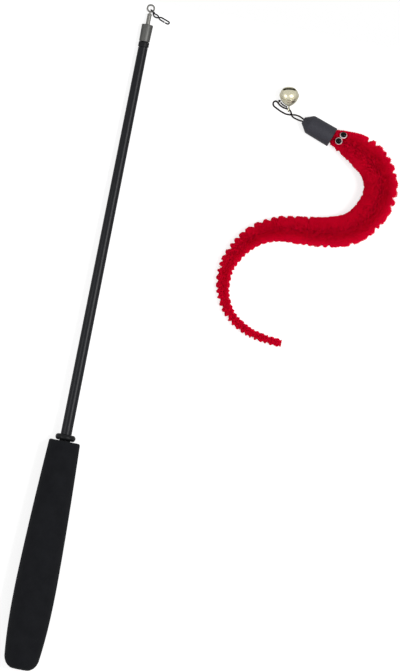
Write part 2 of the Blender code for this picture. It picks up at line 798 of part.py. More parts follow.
def shell_angle(radius, across, point):
    """The angle along a half shell's side where it has a radius."""
    return math.acos((radius / across) ** (1 / point))


def build_bell_halves(nickel, bell_frame):
    """The two pressed half shells, which meet at a crimped lip round the bell's middle."""
    outer = BELL_DIAMETER / 2
    inner = outer - BELL_WALL
    low = FIT_GAP / 2
    lip_top = low + BELL_LIP_WIDTH
    lip = [(outer + BELL_LIP_PROUD, lip_top), (outer + BELL_LIP_PROUD, low)]
    deep = BELL_SLIT_DEPTH
    point = BELL_SLIT_POINT
    dome = shell_side(outer, deep, point, math.pi / 2, math.asin(lip_top / deep))
    deep -= BELL_WALL
    hollow = shell_side(inner, deep, point, math.asin(low / deep), math.pi / 2)
    slit_shell = mesh_of("bell_slit_half", turned([*dome, *lip, *hollow], BELL_SIDES))
    slit_half = add_piece("bell_slit_half", slit_shell, nickel, bell_frame)
    cut_with(slit_half, slit_cutter(), bell_frame, "bell_slit_cutter")
    hole = BELL_RIVET_HOLE / 2
    deep = BELL_SHANK_DEPTH
    point = BELL_SHANK_POINT
    dome_start = shell_angle(hole, outer, point)
    dome = shell_side(outer, deep, point, dome_start, math.asin(lip_top / deep))
    deep -= BELL_WALL
    hollow_end = shell_angle(hole, inner, point)
    hollow = shell_side(inner, deep, point, math.asin(low / deep), hollow_end)
    outline = [(radius, -height) for radius, height in [*dome, *lip, *hollow]]
    shank_shell = mesh_of("bell_shank_half", turned(outline, BELL_SIDES))
    add_piece("bell_shank_half", shank_shell, nickel, bell_frame)


def slit_cutter():
    """A bar across the pole with a round post at each end: the slit and its two end holes."""
    shape = bmesh.new()
    half_width = BELL_SLIT_WIDTH / 2
    end_radius = BELL_SLIT_END_DIAMETER / 2
    meet = math.sqrt(end_radius**2 - half_width**2)
    base = []
    start = math.atan2(half_width, meet)
    end_steps = 8
    for side in (1, -1):
        for step in range(end_steps + 1):
            angle = math.pi - start - (2 * math.pi - 2 * start) * step / end_steps
            x = side * (BELL_SLIT_REACH + end_radius * math.cos(angle))
            y = side * end_radius * math.sin(angle)
            base.append(shape.verts.new((x, y, BELL_SLIT_FOOT)))
    face = shape.faces.new(base)
    grown = bmesh.ops.extrude_face_region(shape, geom=[face])
    moved = [item for item in grown["geom"] if isinstance(item, bmesh.types.BMVert)]
    bmesh.ops.translate(shape, vec=(0.0, 0.0, BELL_SLIT_DEPTH), verts=moved)
    return mesh_of("bell_slit_cutter", shape)


def build_bell_loop(nickel, bell_frame):
    """The bell's wire loop, whose neck passes through the shell to a head riveted inside."""
    inner = BELL_DIAMETER / 2 - BELL_WALL
    head_angle = shell_angle(BELL_RIVET_HEAD / 2, inner, BELL_SHANK_POINT)
    head_top = (BELL_SHANK_DEPTH - BELL_WALL) * math.sin(head_angle) - FIT_GAP
    head_foot = head_top - BELL_RIVET_HEAD_LENGTH
    neck = BELL_RIVET_NECK / 2
    neck_top = BELL_LOOP_REACH - BELL_LOOP_OUTER_DIAMETER / 2 + BELL_LOOP_WIRE / 2
    outline = [
        (0.0, head_foot),
        (BELL_RIVET_HEAD / 2, head_foot),
        (BELL_RIVET_HEAD / 2, head_top),
        (neck, head_top),
        (neck, neck_top),
        (0.0, neck_top),
    ]
    loop_frame = add_frame("bell_loop_frame", bell_loop_matrix(), bell_frame)
    ring_radius = (BELL_LOOP_OUTER_DIAMETER - BELL_LOOP_WIRE) / 2
    ring = ring_shape(ring_radius, BELL_LOOP_WIRE / 2, BELL_LOOP_REACH)
    piece = add_piece("bell_loop", mesh_of("bell_loop", ring), nickel, loop_frame)
    join_with(piece, mesh_of("bell_loop_rivet", turned(outline, RIVET_SIDES)), loop_frame)


def axes_matrix(place, across, side, up):
    """A world matrix whose columns are three unit directions and a place."""
    matrix = Matrix((across, side, up)).transposed().to_4x4()
    matrix.translation = place
    return matrix


def bell_centre():
    """The middle of the bell, whose loop stands on the floor."""
    place = Vector(CAP_APEX) + Vector(BELL_FROM_APEX)
    loop_height = BELL_LOOP_OUTER_DIAMETER / 2 + LIE_GAP
    height = FLOOR + loop_height + BELL_LOOP_REACH * math.sin(BELL_POLE_RISE)
    return Vector((place.x, place.y, height))


def bell_matrix():
    """The bell's frame: up is its pole, and across is level, along the slit."""
    pole = bell_pole()
    across = Vector((0.0, 0.0, 1.0)).cross(pole).normalized() * -1
    return axes_matrix(bell_centre(), across, pole.cross(across), pole)


def bell_loop_matrix():
    """The loop's frame: up points away from the bell's slit, and the cord runs along its Y."""
    up = bell_pole() * -1
    cord = Vector((math.cos(CORD_HEADING_AT_BELL), math.sin(CORD_HEADING_AT_BELL), 0.0))
    side = (cord - up * cord.dot(up)).normalized()
    return axes_matrix(bell_centre(), side.cross(up), side, up)


def pellet_drop():
    """How far below the bell's middle the loose ball lies, just clear of the shank half's inside."""
    across = BELL_DIAMETER / 2 - BELL_WALL
    deep = BELL_SHANK_DEPTH - BELL_WALL
    wall = shell_side(across, deep, BELL_SHANK_POINT, 0.0, math.pi / 2, 60)
    steps = 200
    for step in range(steps):
        drop = across * (1 - step / steps)
        place = (drop * math.cos(BELL_POLE_RISE), drop * math.sin(BELL_POLE_RISE))
        nearest = min(math.dist(place, point) for point in wall)
        if nearest > PELLET_DIAMETER / 2 + FIT_GAP:
            break
    return drop


def build_pellet(steel, pellet_frame):
    """The loose ball, lying at the bottom of the bell."""
    shape = bmesh.new()
    bmesh.ops.create_icosphere(
        shape,
        subdivisions=2,
        radius=PELLET_DIAMETER / 2,
        matrix=Matrix.Translation((0.0, 0.0, -pellet_drop())),
    )
    add_piece("bell_pellet", mesh_of("bell_pellet", shape), steel, pellet_frame)


def build_eyes(white_plastic, black_plastic, stem, cap_frame):
    """The two stuck-on eyes: a white back with a domed black pupil on it."""
    back = EYE_BACK_DIAMETER / 2
    pupil = EYE_PUPIL_DIAMETER / 2
    soft = EYE_BACK_THICKNESS / 2
    back_outline = [(0.0, 0.0)]
    back_outline += arc((back - soft, soft), (soft, soft), -math.pi / 2, math.pi / 2)
    back_outline.append((0.0, EYE_BACK_THICKNESS))
    pupil_foot = EYE_BACK_THICKNESS + FIT_GAP / 2
    pupil_outline = [(0.0, pupil_foot)]
    pupil_outline += arc((0.0, pupil_foot), (pupil, EYE_PUPIL_HEIGHT), 0.0, math.pi / 2)
    for number, (beyond, round_worm, lean) in enumerate(EYE_PLACES, start=1):
        middle, ahead, left = stem.at(beyond)
        upright = Vector((0.0, 0.0, 1.0))
        out = upright * math.cos(round_worm) + left * math.sin(round_worm)
        place = middle + out * (pile_radius(beyond) + EYE_STAND)
        leaning = upright * math.cos(lean) + left * math.sin(lean)
        up = (leaning * math.cos(EYE_TIP) - ahead * math.sin(EYE_TIP)).normalized()
        forwards = left.cross(up).normalized()
        eye_frame = add_frame(
            f"eye_frame_{number}", axes_matrix(place, forwards, up.cross(forwards), up), cap_frame
        )
        back_data = mesh_of(f"eye_back_{number}", turned(back_outline, TUBE_SIDES))
        add_piece(f"eye_back_{number}", back_data, white_plastic, eye_frame)
        pupil_data = mesh_of(f"eye_pupil_{number}", turned(pupil_outline, TUBE_SIDES))
        add_piece(f"eye_pupil_{number}", pupil_data, black_plastic, eye_frame)


def cap_nose():
    """The cap's nose, on the axis of a cap that lies on its side."""
    return Vector((*CAP_APEX, FLOOR + CAP_DIAMETER / 2 + LIE_GAP))


def cap_matrix():
    """The cap's frame: its local Z runs from the nose to the mouth, and its local Y is level."""
    forwards = Vector((math.cos(CAP_HEADING), math.sin(CAP_HEADING), 0.0))
    left = Vector((-forwards.y, forwards.x, 0.0))
    return axes_matrix(cap_nose(), left.cross(forwards), left, forwards)


def pile_radius(distance):
    """The pile's radius at a distance from the cap's mouth, easing from one station to the next."""
    if distance <= PILE_RADIUS_AT[0][0]:
        return PILE_RADIUS_AT[0][1]
    for (start, first), (end, second) in zip(PILE_RADIUS_AT, PILE_RADIUS_AT[1:]):
        if distance <= end:
            return first + (second - first) * (distance - start) / (end - start)
    return PILE_RADIUS_AT[-1][1]


class Stem:
    """The worm's middle line, from inside the cap to the end of its tail."""

    def __init__(self):
        forwards = Vector((math.cos(CAP_HEADING), math.sin(CAP_HEADING)))
        mouth = Vector(CAP_APEX) + forwards * CAP_LENGTH
        in_cap = mouth - forwards * WORM_IN_CAP
        step = 0.001
        beyond = [mouth + Vector(point) for point in WORM_ROUTE]
        self.points = smooth_line([in_cap, mouth, *beyond], step)
        self.travelled = [-WORM_IN_CAP]
        for here, there in zip(self.points, self.points[1:]):
            self.travelled.append(self.travelled[-1] + (there - here).length)
        self.length = self.travelled[-1]

    def height(self, distance):
        """Height of the middle line: the cap's own axis, then the pile resting on the floor."""
        rest = pile_radius(distance)
        if distance < CAP_CARRIES_TO:
            rest = max(CAP_DIAMETER / 2, rest)
        return FLOOR + LIE_GAP + rest

    def at(self, distance):
        """Place, level heading and level left-hand direction at a distance from the cap's mouth."""
        index = 0
        while index < len(self.points) - 2 and self.travelled[index + 1] < distance:
            index += 1
        span = self.travelled[index + 1] - self.travelled[index]
        share = (distance - self.travelled[index]) / span
        flat = self.points[index].lerp(self.points[index + 1], share)
        before = self.points[max(index - 2, 0)]
        after = self.points[min(index + 3, len(self.points) - 1)]
        forwards = (after - before).normalized()
        ahead = Vector((forwards.x, forwards.y, 0.0))
        left = Vector((-forwards.y, forwards.x, 0.0))
        return Vector((flat.x, flat.y, self.height(distance))), ahead, left


def ring_places(start, end):
    """Distances for a link's rings: its ends, the pile's stations between, and even steps."""
    marks = [start]
    marks += [at for at, _ in PILE_RADIUS_AT if start + LINK_GAP < at < end - LINK_GAP]
    marks.append(end)
    places = [start]
    for here, there in zip(marks, marks[1:]):
        parts = math.ceil((there - here) / RING_SPACING)
        places += [here + (there - here) * part / parts for part in range(1, parts + 1)]
    return places


def pile_link(stem, start, end, slant_start, slant_end):
    """A closed sleeve along the stem, its ends cut back in a V about an upright ridge."""
    bore = CORE_DIAMETER / 2 + FIT_GAP
    shape = bmesh.new()
    skin = []
    lining = []
    for distance in ring_places(start, end):
        middle, ahead, left = stem.at(distance)
        slant = 0.0
        if distance == start:
            slant = slant_start
        if distance == end:
            slant = -slant_end
        for radius, loops in ((pile_radius(distance), skin), (bore, lining)):
            loop = []
            for side in range(PILE_SIDES):
                angle = math.tau * side / PILE_SIDES
                across = radius * math.cos(angle)
                up = radius * math.sin(angle)
                point = middle + left * across + Vector((0.0, 0.0, up))
                point += ahead * abs(across) * math.tan(slant)
                loop.append(shape.verts.new(point))
            loops.append(loop)
    for loops in (skin, lining):
        for row, following in zip(loops, loops[1:]):
            for side in range(PILE_SIDES):
                after = (side + 1) % PILE_SIDES
                shape.faces.new((row[side], row[after], following[after], following[side]))
    for outside, inside in ((skin[0], lining[0]), (skin[-1], lining[-1])):
        for side in range(PILE_SIDES):
            after = (side + 1) % PILE_SIDES
            shape.faces.new((outside[side], outside[after], inside[after], inside[side]))
    return shape


def core_link(stem, start, end):
    """A closed round wire along the stem with flat ends."""
    shape = bmesh.new()
    loops = []
    for distance in ring_places(start, end):
        middle, ahead, left = stem.at(distance)
        loop = []
        for side in range(CORE_SIDES):
            angle = math.tau * side / CORE_SIDES
            offset = left * math.cos(angle) + Vector((0.0, 0.0, math.sin(angle)))
            loop.append(shape.verts.new(middle + offset * CORE_DIAMETER / 2))
        loops.append(loop)
    for row, following in zip(loops, loops[1:]):
        for side in range(CORE_SIDES):
            after = (side + 1) % CORE_SIDES
            shape.faces.new((row[side], row[after], following[after], following[side]))
    shape.faces.new(loops[0])
    shape.faces.new(loops[-1])
    return shape


def build_worm(pile_finish, core_finish, stem, cap_frame):
    """The worm's links, each on an upright hinge where the one before it ends."""
    link_length = stem.length / LINK_COUNT
    slant = BEND_RANGE / 2
    frame = cap_frame
    core_in_cap = KNOT_DIAMETER + CORD_INSIDE + FIT_GAP * 2
    for link in range(LINK_COUNT):
        start = link_length * link
        end = link_length * (link + 1)
        if link > 0:
            place = Matrix.Translation(stem.at(start)[0])
            frame = add_frame(f"worm_hinge_{link}", place, frame)
        first = link == 0
        last = link == LINK_COUNT - 1
        pile_start = -WORM_IN_CAP if first else start + LINK_GAP / 2
        pile_end = end if last else end - LINK_GAP / 2
        pile = pile_link(stem, pile_start, pile_end, 0.0 if first else slant, 0.0 if last else slant)
        core_start = max(-WORM_IN_CAP, core_in_cap - CAP_LENGTH) if first else start + CORE_GAP / 2
        core_end = end if last else end - CORE_GAP / 2
        core = core_link(stem, core_start, core_end)
        to_frame = frame.matrix_world.inverted()
        for name, shape, finish in (
            (f"worm_core_{link}", core, core_finish),
            (f"worm_pile_{link}", pile, pile_finish),
        ):
            bmesh.ops.transform(shape, matrix=to_frame, verts=shape.verts)
            add_piece(name, mesh_of(name, shape), finish, frame)


def build_wand(finishes):
    """Everything on the wand, each sliding or turning group under its own empty."""
    dip = Matrix.Rotation(-(math.pi / 2 + WAND_DIP), 4, "X")
    rod = add_frame("wand_axis", dip)
    middle = add_frame("middle_slide_axis", dip, rod)
    tip = add_frame("tip_slide_axis", dip, middle)
    spin = add_frame("swivel_spin_axis", dip, tip)
    build_grip(finishes["foam"], rod)
    build_butt_cap(finishes["rubber"], rod)
    build_grip_collar(finishes["rubber"], rod)
    build_outer_tube(finishes["blank"], rod)
    build_mouth_collar(finishes["rubber"], rod)
    build_middle_tube(finishes["blank"], middle)
    build_tip_rod(finishes["blank"], tip)
    build_ferrule(finishes["steel"], tip)
    build_swivel_barrel(finishes["steel"], tip)
    build_swivel_eye(finishes["steel"], spin)
    ring_middle = (EYE_OUTER_DIAMETER - EYE_WIRE) / 2
    on_ring = Vector(
        (
            ring_middle * math.cos(SNAP_ON_RING_ANGLE),
            0.0,
            EYE_CENTRE + ring_middle * math.sin(SNAP_ON_RING_ANGLE),
        )
    )
    snap_place = Matrix.Translation(dip @ on_ring) @ Matrix.Rotation(SNAP_HEADING, 4, "Z")
    snap = add_frame("snap_swing_axis", snap_place, spin)
    gate = add_frame("snap_gate_axis", snap_place @ Matrix.Translation(gate_hinge()), snap)
    build_snap(finishes["snap_steel"], snap, gate)


def build_lure(finishes):
    """Everything on the lure, under the empty at the cap's nose."""
    cap_frame = add_frame("lure_axis", cap_matrix())
    build_cap(finishes["cap_plastic"], cap_frame)
    build_cord_knot(finishes["cord"], cap_frame)
    build_cord(finishes["cord"], cap_frame)
    build_bell_tie(finishes["cord"], cap_frame)
    swing_place = bell_centre() - bell_pole() * BELL_LOOP_REACH
    swing_turn = Matrix.Rotation(CORD_HEADING_AT_BELL, 4, "Z")
    bell_swing = add_frame("bell_swing_axis", Matrix.Translation(swing_place) @ swing_turn, cap_frame)
    bell_frame = add_frame("bell_frame", bell_matrix(), bell_swing)
    build_bell_halves(finishes["nickel"], bell_frame)
    build_bell_loop(finishes["nickel"], bell_frame)
    pellet_place = Matrix.Translation(bell_centre()) @ Matrix.Rotation(BELL_POLE_HEADING, 4, "Z")
    pellet_frame = add_frame("pellet_roll_axis", pellet_place, bell_frame)
    build_pellet(finishes["steel"], pellet_frame)
    stem = Stem()
    build_eyes(finishes["white_plastic"], finishes["black_plastic"], stem, cap_frame)
    build_worm(finishes["pile"], finishes["steel"], stem, cap_frame)


def build_all():
    """The whole object."""
    clear_scene()
    finishes = {
        "foam": make_finish("grip_foam", (0.011, 0.012, 0.014), 0.85),
        "rubber": make_finish("black_rubber", (0.010, 0.010, 0.011), 0.6),
        "blank": make_finish("painted_blank", (0.018, 0.019, 0.022), 0.35),
        "steel": make_finish("brushed_steel", (0.34, 0.34, 0.33), 0.4, 1.0),
        "snap_steel": make_finish("dark_snap_steel", (0.10, 0.10, 0.11), 0.35, 1.0),
        "cap_plastic": make_finish("cap_plastic", (0.035, 0.035, 0.042), 0.55),
        "cord": make_finish("maroon_cord", (0.021, 0.008, 0.010), 0.9),
        "nickel": make_finish("nickel_plate", (0.75, 0.72, 0.60), 0.2, 1.0),
        "white_plastic": make_finish("white_plastic", (0.80, 0.78, 0.78), 0.3),
        "black_plastic": make_finish("black_plastic", (0.006, 0.008, 0.007), 0.1),
        "pile": make_finish("red_pile", (0.35, 0.001, 0.010), 0.95),
    }
    build_wand(finishes)
    build_lure(finishes)


build_all()
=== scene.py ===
"""The looks of a telescopic cat teaser wand and its chenille worm lure, in metres, +Z up.

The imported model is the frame. Each sub-assembly below is a class that builds its pieces in finer
form where their solids stand, gives them their finishes and lets them ride on their bodies.
"""

import logging
from dataclasses import dataclass, field
from enum import Enum
from math import acos, asin, atan2, cos, pi, radians, sin, sqrt, tan, tau

import bmesh
import bpy
import numpy as np
from mathutils import Matrix, Vector


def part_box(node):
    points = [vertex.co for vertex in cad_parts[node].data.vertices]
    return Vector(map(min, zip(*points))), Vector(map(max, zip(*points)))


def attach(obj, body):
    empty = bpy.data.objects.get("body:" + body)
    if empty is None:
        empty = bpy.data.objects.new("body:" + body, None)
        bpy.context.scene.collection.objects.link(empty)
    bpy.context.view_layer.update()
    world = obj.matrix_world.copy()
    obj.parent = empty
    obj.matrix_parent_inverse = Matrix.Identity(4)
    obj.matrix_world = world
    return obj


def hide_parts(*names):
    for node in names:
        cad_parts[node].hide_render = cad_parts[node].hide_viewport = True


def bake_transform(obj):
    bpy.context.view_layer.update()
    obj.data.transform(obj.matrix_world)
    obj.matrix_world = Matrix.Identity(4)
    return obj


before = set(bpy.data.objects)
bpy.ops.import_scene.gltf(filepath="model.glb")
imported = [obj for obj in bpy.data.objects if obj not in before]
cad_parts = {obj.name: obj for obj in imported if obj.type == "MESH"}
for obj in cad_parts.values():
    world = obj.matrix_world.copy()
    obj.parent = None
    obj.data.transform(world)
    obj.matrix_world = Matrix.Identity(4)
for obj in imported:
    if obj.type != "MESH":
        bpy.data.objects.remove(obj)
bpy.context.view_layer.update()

MM = 0.001
QUARTER = pi / 2
UP = Vector((0.0, 0.0, 1.0))
SHARP = 32.0
STRAND_SHARP = 70.0
NO_LENGTH = 1e-9

LIE_GAP = 0.00005
FIT_GAP = 0.0003
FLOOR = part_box("lure_cap")[0].z - LIE_GAP

log = logging.getLogger("looks")

Array = np.ndarray
Mesh = bpy.types.Mesh
Node = bpy.types.Node
Outline = list[tuple[float, float]]
Piece = bpy.types.Object
Route = tuple[tuple[float, ...], ...]
Shape = bmesh.types.BMesh
Socket = bpy.types.NodeSocket
Tree = bpy.types.NodeTree


def srgb(colour: str) -> tuple[float, float, float, float]:
    """Turn an sRGB hex colour into linear values.

    Args:
        colour: six hex digits after a hash sign.

    Returns:
        Linear red, green and blue, and an alpha of 1.
    """
    channels = [int(colour[start : start + 2], 16) / 255 for start in (1, 3, 5)]
    linear = [c / 12.92 if c <= 0.04045 else ((c + 0.055) / 1.055) ** 2.4 for c in channels]
    return (*linear, 1.0)


def add_node(
    tree: Tree, kind: str, links: dict | None = None, values: dict | None = None, **settings: object
) -> Node:
    """Add one node with its settings, socket values and incoming links.

    Args:
        tree: the material's or world's nodes.
        kind: the node's type, without the ShaderNode that every type starts with.
        links: for each socket, by name or number, the output that feeds it.
        values: for each socket, by name or number, the value set on it.
        settings: the node's own properties.

    Returns:
        The new node.
    """
    node = tree.nodes.new("ShaderNode" + kind)
    for name, setting in settings.items():
        setattr(node, name, setting)
    for socket, value in (values or {}).items():
        node.inputs[socket].default_value = value
    for socket, source in (links or {}).items():
        tree.links.new(source, node.inputs[socket])
    return node


MIX_FIRST = 6
MIX_SECOND = 7
MIX_RESULT = 2


@dataclass(frozen=True)
class Finish:
    """What a surface is made of. Its material is made on first use and shared after that."""

    name: str
    slot: str
    colour: str
    second_colour: str
    roughness: float
    metallic: float = 0.0
    specular: float = 0.5
    grain: float = 0.4 * MM
    depth: float = 0.01 * MM

    def material(self) -> bpy.types.Material:
        """The finish's material.

        Returns:
            The material.
        """
        made = bpy.data.materials.get(self.name)
        if made is None:
            made = bpy.data.materials.new(self.name)
            made.use_nodes = True
            shader = made.node_tree.nodes["Principled BSDF"]
            shader.inputs["Base Color"].default_value = srgb(self.colour)
            shader.inputs["Roughness"].default_value = self.roughness
            shader.inputs["Metallic"].default_value = self.metallic
            shader.inputs["Specular IOR Level"].default_value = self.specular
            self.dress(made.node_tree, shader)
        return made

    def dress(self, tree: Tree, shader: Node) -> None:
        """Add the surface's own pattern: a fine grain in colour and relief.

        Args:
            tree: the material's nodes.
            shader: its Principled BSDF.
        """
        place = add_node(tree, "TexCoord").outputs["Object"]
        values = {"Scale": 1 / self.grain, "Detail": 3.0, "Roughness": 0.6}
        grain = add_node(tree, "TexNoise", {"Vector": place}, values)
        self.tint(tree, shader, grain.outputs["Fac"], 0.35)
        self.emboss(tree, shader, grain.outputs["Fac"])

    def tint(self, tree: Tree, shader: Node, pattern: Socket, low: float = 0.3) -> None:
        """Run the colour from the first to the second as a pattern goes from low to high.

        Args:
            tree: the material's nodes.
            shader: its Principled BSDF.
            pattern: the output that drives the colour.
            low: the pattern's value at the first colour; it has the second at 1 less this.
        """
        values = {"From Min": low, "From Max": 1 - low}
        share = add_node(tree, "MapRange", {"Value": pattern}, values)
        colours = {MIX_FIRST: srgb(self.colour), MIX_SECOND: srgb(self.second_colour)}
        mix = add_node(tree, "Mix", {0: share.outputs["Result"]}, colours, data_type="RGBA")
        tree.links.new(mix.outputs[MIX_RESULT], shader.inputs["Base Color"])

    def vary_gloss(self, tree: Tree, shader: Node, pattern: Socket, share: float) -> None:
        """Let the roughness follow a pattern, by a share of itself either way.

        Args:
            tree: the material's nodes.
            shader: its Principled BSDF.
            pattern: the output that drives the roughness.
            share: how far it goes.
        """
        values = {"To Min": self.roughness * (1 - share), "To Max": self.roughness * (1 + share)}
        rough = add_node(tree, "MapRange", {"Value": pattern}, values)
        tree.links.new(rough.outputs["Result"], shader.inputs["Roughness"])

    def emboss(self, tree: Tree, shader: Node, pattern: Socket) -> None:
        """Raise a pattern out of the surface by the finish's depth.

        Args:
            tree: the material's nodes.
            shader: its Principled BSDF.
            pattern: the output that gives the height.
        """
        values = {"Strength": 1.0, "Distance": self.depth}
        relief = add_node(tree, "Bump", {"Height": pattern}, values)
        tree.links.new(relief.outputs["Normal"], shader.inputs["Normal"])


@dataclass(frozen=True)
class FoamRubber(Finish):
    """Closed-cell foam rubber, ground to shape: its cut cells scatter the light, so it is dull."""

    cloudiness: float = 9 * MM

    def dress(self, tree: Tree, shader: Node) -> None:
        """Add the cut cells and the slow clouding of a ground foam surface.

        Args:
            tree: the material's nodes.
            shader: its Principled BSDF.
        """
        place = add_node(tree, "TexCoord").outputs["Object"]
        values = {"Scale": 1 / self.grain, "Randomness": 1.0}
        cells = add_node(tree, "TexVoronoi", {"Vector": place}, values, feature="SMOOTH_F1")
        values = {"Scale": 1 / self.cloudiness, "Detail": 5.0, "Roughness": 0.65}
        clouds = add_node(tree, "TexNoise", {"Vector": place}, values)
        self.tint(tree, shader, clouds.outputs["Fac"])
        self.emboss(tree, shader, cells.outputs["Distance"])


@dataclass(frozen=True)
class DrawnMetal(Finish):
    """Metal drawn or turned along its length: fine lengthwise lines stretch its highlights."""

    line_length: float = 9 * MM

    def dress(self, tree: Tree, shader: Node) -> None:
        """Add lines along the piece's own Z axis, in colour, roughness and relief.

        Args:
            tree: the material's nodes.
            shader: its Principled BSDF.
        """
        place = add_node(tree, "TexCoord").outputs["Object"]
        values = {"Scale": (1 / self.grain, 1 / self.grain, 1 / self.line_length)}
        stretched = add_node(tree, "Mapping", {"Vector": place}, values)
        values = {"Scale": 1.0, "Detail": 4.0, "Roughness": 0.7}
        lines = add_node(tree, "TexNoise", {"Vector": stretched.outputs["Vector"]}, values)
        self.tint(tree, shader, lines.outputs["Fac"])
        self.vary_gloss(tree, shader, lines.outputs["Fac"], 0.25)
        self.emboss(tree, shader, lines.outputs["Fac"])


@dataclass(frozen=True)
class SatinPaint(Finish):
    """Black paint dipped over wrapped glass fibre: satin, with the wrap's faint turns under it."""

    wrap_pitch: float = 1.2 * MM

    def dress(self, tree: Tree, shader: Node) -> None:
        """Add the wrap's turns as a low relief and a slow unevenness in the gloss.

        Args:
            tree: the material's nodes.
            shader: its Principled BSDF.
        """
        place = add_node(tree, "TexCoord").outputs["Object"]
        values = {"Scale": tau / (20 * self.wrap_pitch), "Distortion": 1.5, "Detail": 2.0}
        settings = {"wave_type": "BANDS", "bands_direction": "Z"}
        wraps = add_node(tree, "TexWave", {"Vector": place}, values, **settings)
        values = {"Scale": 1 / self.grain, "Detail": 4.0}
        runs = add_node(tree, "TexNoise", {"Vector": place}, values)
        self.tint(tree, shader, runs.outputs["Fac"])
        self.vary_gloss(tree, shader, runs.outputs["Fac"], 0.2)
        self.emboss(tree, shader, wraps.outputs["Fac"])


@dataclass(frozen=True)
class DyedPile(Finish):
    """Crimped nylon pile, dyed red: matt fibres, with painted shade that darkens them towards their
    roots.
    """

    # The root colour is painted shade: the shadow deep down in the pile, painted onto the fibres'
    # roots.
    painted_root_shade: str = "#dc002c"
    sheen: float = 0.08
    sheen_tint: str = "#ff1a30"

    def dress(self, tree: Tree, shader: Node) -> None:
        """Colour each fibre by its own shade, and run it from a painted shade at its root to its
        colour at its tip.

        Args:
            tree: the material's nodes.
            shader: its Principled BSDF.
        """
        shade = add_node(tree, "Attribute", attribute_name=FIBRE_SHADE)
        rise = add_node(tree, "Attribute", attribute_name=FIBRE_RISE)
        colours = {MIX_FIRST: srgb(self.colour), MIX_SECOND: srgb(self.second_colour)}
        fibre = add_node(tree, "Mix", {0: shade.outputs["Fac"]}, colours, data_type="RGBA")
        # Painted shade: each fibre runs from the darker root colour at its root to its own colour at
        # its tip.
        links = {0: rise.outputs["Fac"], MIX_SECOND: fibre.outputs[MIX_RESULT]}
        mix = add_node(tree, "Mix", links, {MIX_FIRST: srgb(self.painted_root_shade)}, data_type="RGBA")
        tree.links.new(mix.outputs[MIX_RESULT], shader.inputs["Base Color"])
        shader.inputs["Sheen Weight"].default_value = self.sheen
        shader.inputs["Sheen Roughness"].default_value = 0.5
        shader.inputs["Sheen Tint"].default_value = srgb(self.sheen_tint)


FIBRE_SHADE = "fibre_shade"
FIBRE_RISE = "fibre_rise"


class Finishes(Enum):
    """Every finish on the wand and its lure."""

    # EVA foam rubber, ground to a barrel on a belt: the cut cells scatter the light, so it is a
    # dull charcoal with faint clouds. The cells, 0.2 mm in life, are drawn at 0.45 mm to show.
    FOAM = FoamRubber(
        "ground_foam_rubber", "foam", "#0f1013", "#17181b", 0.9, 0.0, 0.12, 0.45 * MM, 0.05 * MM
    )
    # Natural rubber, moulded: a smooth matt black with a soft light over its dome.
    PLUG = Finish(
        "moulded_rubber", "black_rubber", "#0f1012", "#151618", 0.6, 0.0, 0.15, 0.3 * MM
    )
    # Nylon, injection moulded: a closer black than the rubber, with one satin light.
    TRIM = Finish(
        "moulded_nylon", "black_trim", "#0a0b0c", "#101113", 0.42, 0.0, 0.15, 0.3 * MM, 0.008 * MM
    )
    # Glass fibre wrapped on a mandrel and dipped in black paint: two long soft lights run down it
    # over the wrap's faint turns, and its edges stay black.
    BLANK = SatinPaint(
        "painted_glass_fibre", "blank", "#0c0d10", "#121318", 0.34, 0.0, 0.16, 3 * MM
    )
    # Stainless steel, drawn: a mid grey, with fine lines along it that spread its lights.
    FERRULE = DrawnMetal(
        "drawn_stainless_steel", "steel", "#4b4b4a", "#5d5d5b", 0.5, 1.0, 0.5, 0.25 * MM, 0.02 * MM
    )
    # Steel, turned and tumbled: a lighter grey with soft lights.
    BARREL = DrawnMetal("turned_steel", "steel", "#676763", "#7a7975", 0.46, 1.0, 0.5, 0.2 * MM)
    # Spring wire plated with black nickel: nearly black, with thin bright lines.
    SNAP = Finish(
        "black_nickel_wire", "dark_steel", "#18181a", "#26262a", 0.36, 1.0, depth=0.004 * MM
    )
    # ABS, moulded in a lightly sparked mould: a dark slate with a fine tooth and no sharp light.
    CAP = Finish(
        "moulded_abs", "cap_plastic", "#313137", "#3d3d44", 0.5, 0.0, 0.14, 0.35 * MM, 0.02 * MM
    )
    # Nylon cord, laid from three strands: a brown-black whose strands catch a thin light each.
    CORD = Finish(
        "twisted_nylon_cord", "cord", "#0e0708", "#211216", 0.8, 0.0, 0.12, 0.12 * MM, 0.02 * MM
    )
    # Brass, pressed and nickel plated: a pale cream metal, a little uneven from the press.
    NICKEL = Finish(
        "nickel_plated_brass", "nickel", "#d6d2ba", "#c2bca2", 0.3, 1.0, 0.5, 0.9 * MM, 0.006 * MM
    )
    # Steel, rolled into a pellet: a plain grey that only shows through the slit.
    PELLET = Finish(
        "rolled_steel", "pellet_steel", "#77777a", "#8d8d90", 0.35, 1.0, depth=0.006 * MM
    )
    # Polystyrene, moulded white: clean and glossy, seen as a thin ring round each pupil.
    EYE_BACK = Finish(
        "white_polystyrene", "white_plastic", "#ece4e4", "#f4eeee", 0.3, 0.0, 0.5, 0.5 * MM,
        0.003 * MM,
    )
    # Polystyrene, moulded black: a deep black dome with one small light.
    PUPIL = Finish(
        "black_polystyrene", "black_plastic", "#020303", "#050c09", 0.16, 0.0, 0.08, 0.7 * MM,
        0.003 * MM,
    )
    # Iron wire, galvanised and twisted: pale grey glints between the tufts of the thin tail.
    CORE = Finish("galvanised_wire", "core_wire", "#b9b4b4", "#9a9494", 0.35, 1.0, 0.5, 0.2 * MM)
    # Nylon yarn, dyed red, cut and caught in the wire: a matt pile, with a painted shade that
    # deepens its red down in its roots.
    # Its fibres, 0.03 mm in life, are drawn at 0.24 mm so that they can be counted in.
    PILE = DyedPile("dyed_nylon_pile", "red_pile", "#ec0036", "#fa083e", 0.85, 0.0, 0.05)


